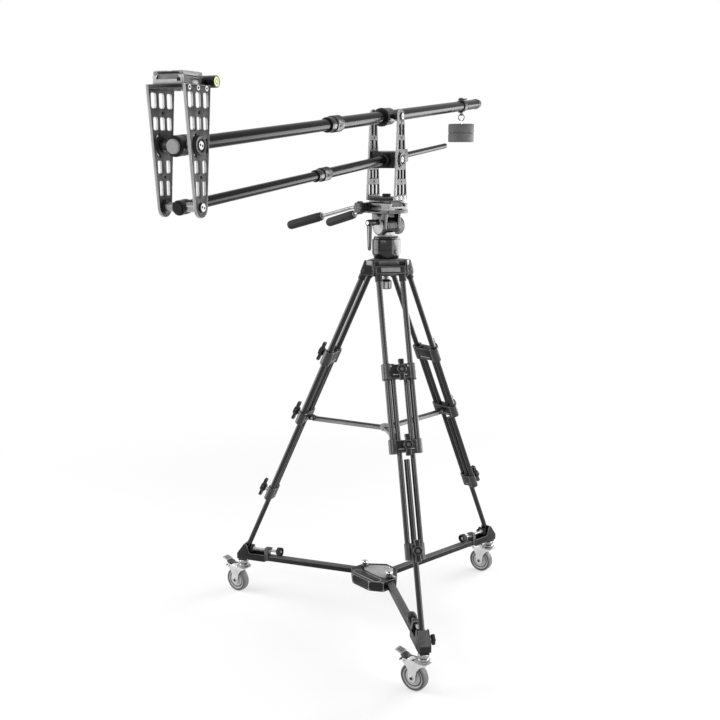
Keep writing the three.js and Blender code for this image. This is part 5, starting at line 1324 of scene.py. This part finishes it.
def weightRing():
    swing = upperPlace @ shift(weight["clampAt"], 0, -weight["eyeDrop"]) @ turn(jib["rise"], "Y")
    radius, wire = weight["ring"], weight["wire"]
    loop = lathe(arc(0, radius, wire, 0, 337.5, 15), "X", 56, True)
    dress("weight_ring", swing, [(shifted(loop, 0, 0, -radius - weight["sag"]), "knobChrome")])
    top, disc, radius = weight["top"], weight["disc"], weight["radius"]
    seam, bottom = top - disc, top - 2 * disc
    discs = moved(bottom, [(0, 0), (0, radius - 3), (0.8, radius - 1), (3, radius)])
    discs += moved(seam, bothEnds([(-2.2, radius), (-1, radius - 1.2), (-0.5, radius - 2.4)]))
    discs += moved(top, [(-3, radius), (-0.8, radius - 1), (0, radius - 3), (0, 16), (-1.2, 14), (-1.2, 0)])
    dress("counterweight", swing, [
        (lathe(discs, "Z", 96), "iron"),
        (eyeLug(0, top - 2, -2 * weight["ring"] - 2 * weight["sag"], 1), "zinc"),
        (rod(8, top - 1.4, top + 0.8, "Z", 0.6, 6), "steel"),
    ])


weightClamp()
weightRing()

lowerParts = {
    "block": 22,
    "bore": 13.1,
    "stopAt": (100, 124),
    "stopHalf": (13, 18),
    "bar": 8,
}


def lowerBlock():
    half = lowerParts["block"]
    side = [(-insideHalf, -half), (insideHalf, -half), (insideHalf, half), (-insideHalf, half)]
    body = slab(side, -half, half, "X", [arc(0, 0, lowerParts["bore"], 360, 8, 44)], 2.2)
    nose = lathe([(-34, 12.9), (-34, 16.6), (-32.6, 18), (-29, 18), (-28.2, 17.2), (-27.4, 18), (-21, 18),
                  (-21, 12.9)], steps=64, ring=True)
    dress("lower_block", lowerPlace, [(body, "plastic"), (nose, "plastic")] + crossPivot(36, "castBlack"))


def lowerRear():
    start, end = lowerParts["stopAt"]
    halfY, halfZ = lowerParts["stopHalf"]
    box = [(start, -halfZ), (end - 3, -halfZ), (end, -halfZ + 3), (end - 1, halfZ), (start + 4, halfZ),
           (start, halfZ - 6)]
    bar = rod(lowerParts["bar"], end - 4, lowerArm["rearBack"], chamfer=1.2, steps=48)
    screw = shifted(rod(4, halfZ - 1, halfZ, "Z", 0.4, 24), (start + end) / 2)
    rearTube("lower_rear_tube", lowerPlace, lowerArm, start + 2, [
        (slab(box, -halfY, halfY, bevel=1.2), *castPair), (bar, "boomBlack"), (screw, "steel")])


lowerBlock()
lowerRear()
twistCollar("lower_collar", lowerPlace, lowerArm)
frontTube("lower_front_tube", lowerPlace, lowerArm, "castBlack")
print("jib built")

# Camera mount on the front frame

mount = {
    "low": 110.3,
    "high": 126.3,
    "floor": 119.3,
    "clampHalf": (32, 35),
    "plateHalf": 30,
    "plateTop": 134.3,
    "knobAt": 54.5,
}


def cameraPlatform():
    dress("camera_platform", cameraPlace, [
        (block(42, insideHalf, (102, 110), 1.2), *castPair),
        (block((-42.0, -40.6), insideHalf - 2, (104.6, 108.6), 0.4), "castGrey"),
        (rod(6, 99, 103, "Z", 0.8, 30), "steel"),
    ])


def cameraClamp():
    low, high, floor = mount["low"], mount["high"], mount["floor"]
    halfX, halfY = mount["clampHalf"]
    facePlate = dovetailClamp(0.5, halfY - 0.6, low + 0.6, high - 0.3, floor - 0.8, 26.8, 22.8)
    parts = [(dovetailClamp(halfX, halfY, low, high, floor - 0.3, 26.3, 22.3), *headPair),
             (shifted(facePlate, -halfX - 0.1), "aluminium"),
             (block((30, 62), 6, (low + 1, high - 1), 1.6), *plasticPair)]
    for way in (-1, 1):
        parts.append((block(halfX - 3, span(way, 35.4, 33), (high - 4.4, high - 2.4), 0.5), "castEdge"))
    face = -halfX - 0.3
    # the thin black patch on the end face stands for the slot: painted shade
    parts += [(block((face - 0.6, face), (-28, -20), (low + 4.6, low + 11.0), 0.2), "plastic"),
              (block((face - 0.9, face), (-33.4, -30.6), (low + 1.6, high - 1.6), 0.3), "silverCap"),
              (shifted(rod(5.4, -35.6, -16, "Y", 0.6, 30), 20, 0, low + 8), "plastic")]
    dress("camera_clamp", cameraPlace, parts)


def cameraPlate():
    top, half, high, floor = mount["plateTop"], mount["plateHalf"], mount["high"], mount["floor"]
    profile = bothEnds([(26, floor), (22, high), (34, high + 0.4), (34, top - 0.7)])
    parts = [(slab(profile, -half, half, "X", bevel=0.5), "clampGrey", "aluminium")]
    for index in range(4):
        for way in (-1, 1):
            sides = span(way, 6.0 + index * 6.6, 10.6 + index * 6.6)
            parts.append((block(28, sides, (top - 1.2, top), 0.35), "rubber"))
    parts += [(block(12, 3.6, (top - 1, top - 0.2), 0.3), "steel"),
              (block((-half - 0.1, -half + 0.5), 24, (high + 1.9, high + 5.9), 0.05), "plastic")]
    dress("camera_plate", cameraPlace, parts)


def levelKnob():
    body = [(-50, 9.4), (-50, 10.6), (-49, 11.5), (-40, 11.5), (-39.2, 10.9), (-38, 10.9), (-37.2, 11.5),
            (-8, 11.5), (-6.3, 10), (-6.3, 0), (-47.6, 0), (-47.6, 9.4)]
    dress("level_knob", cameraPlace @ shift(mount["knobAt"], 0, mount["low"] + 8), [
        (lathe(body, "Y", 72), "plastic"),
        (rod(9.3, -49.3, -47.4, "Y", 0.5, 48), "spirit"),
        (pipe(4.6, 3.9, -49.6, -49.2, "Y", 0.1, 40), "castBlack"),
        (pipe(9.9, 9.2, -50.0, -48.6, "Y", 0.2, 48), "steel"),
        (rod(4, -8, 6, "Y", 0.4, 24), "steel"),
    ])


cameraPlatform()
cameraClamp()
cameraPlate()
levelKnob()
print("camera mount built")
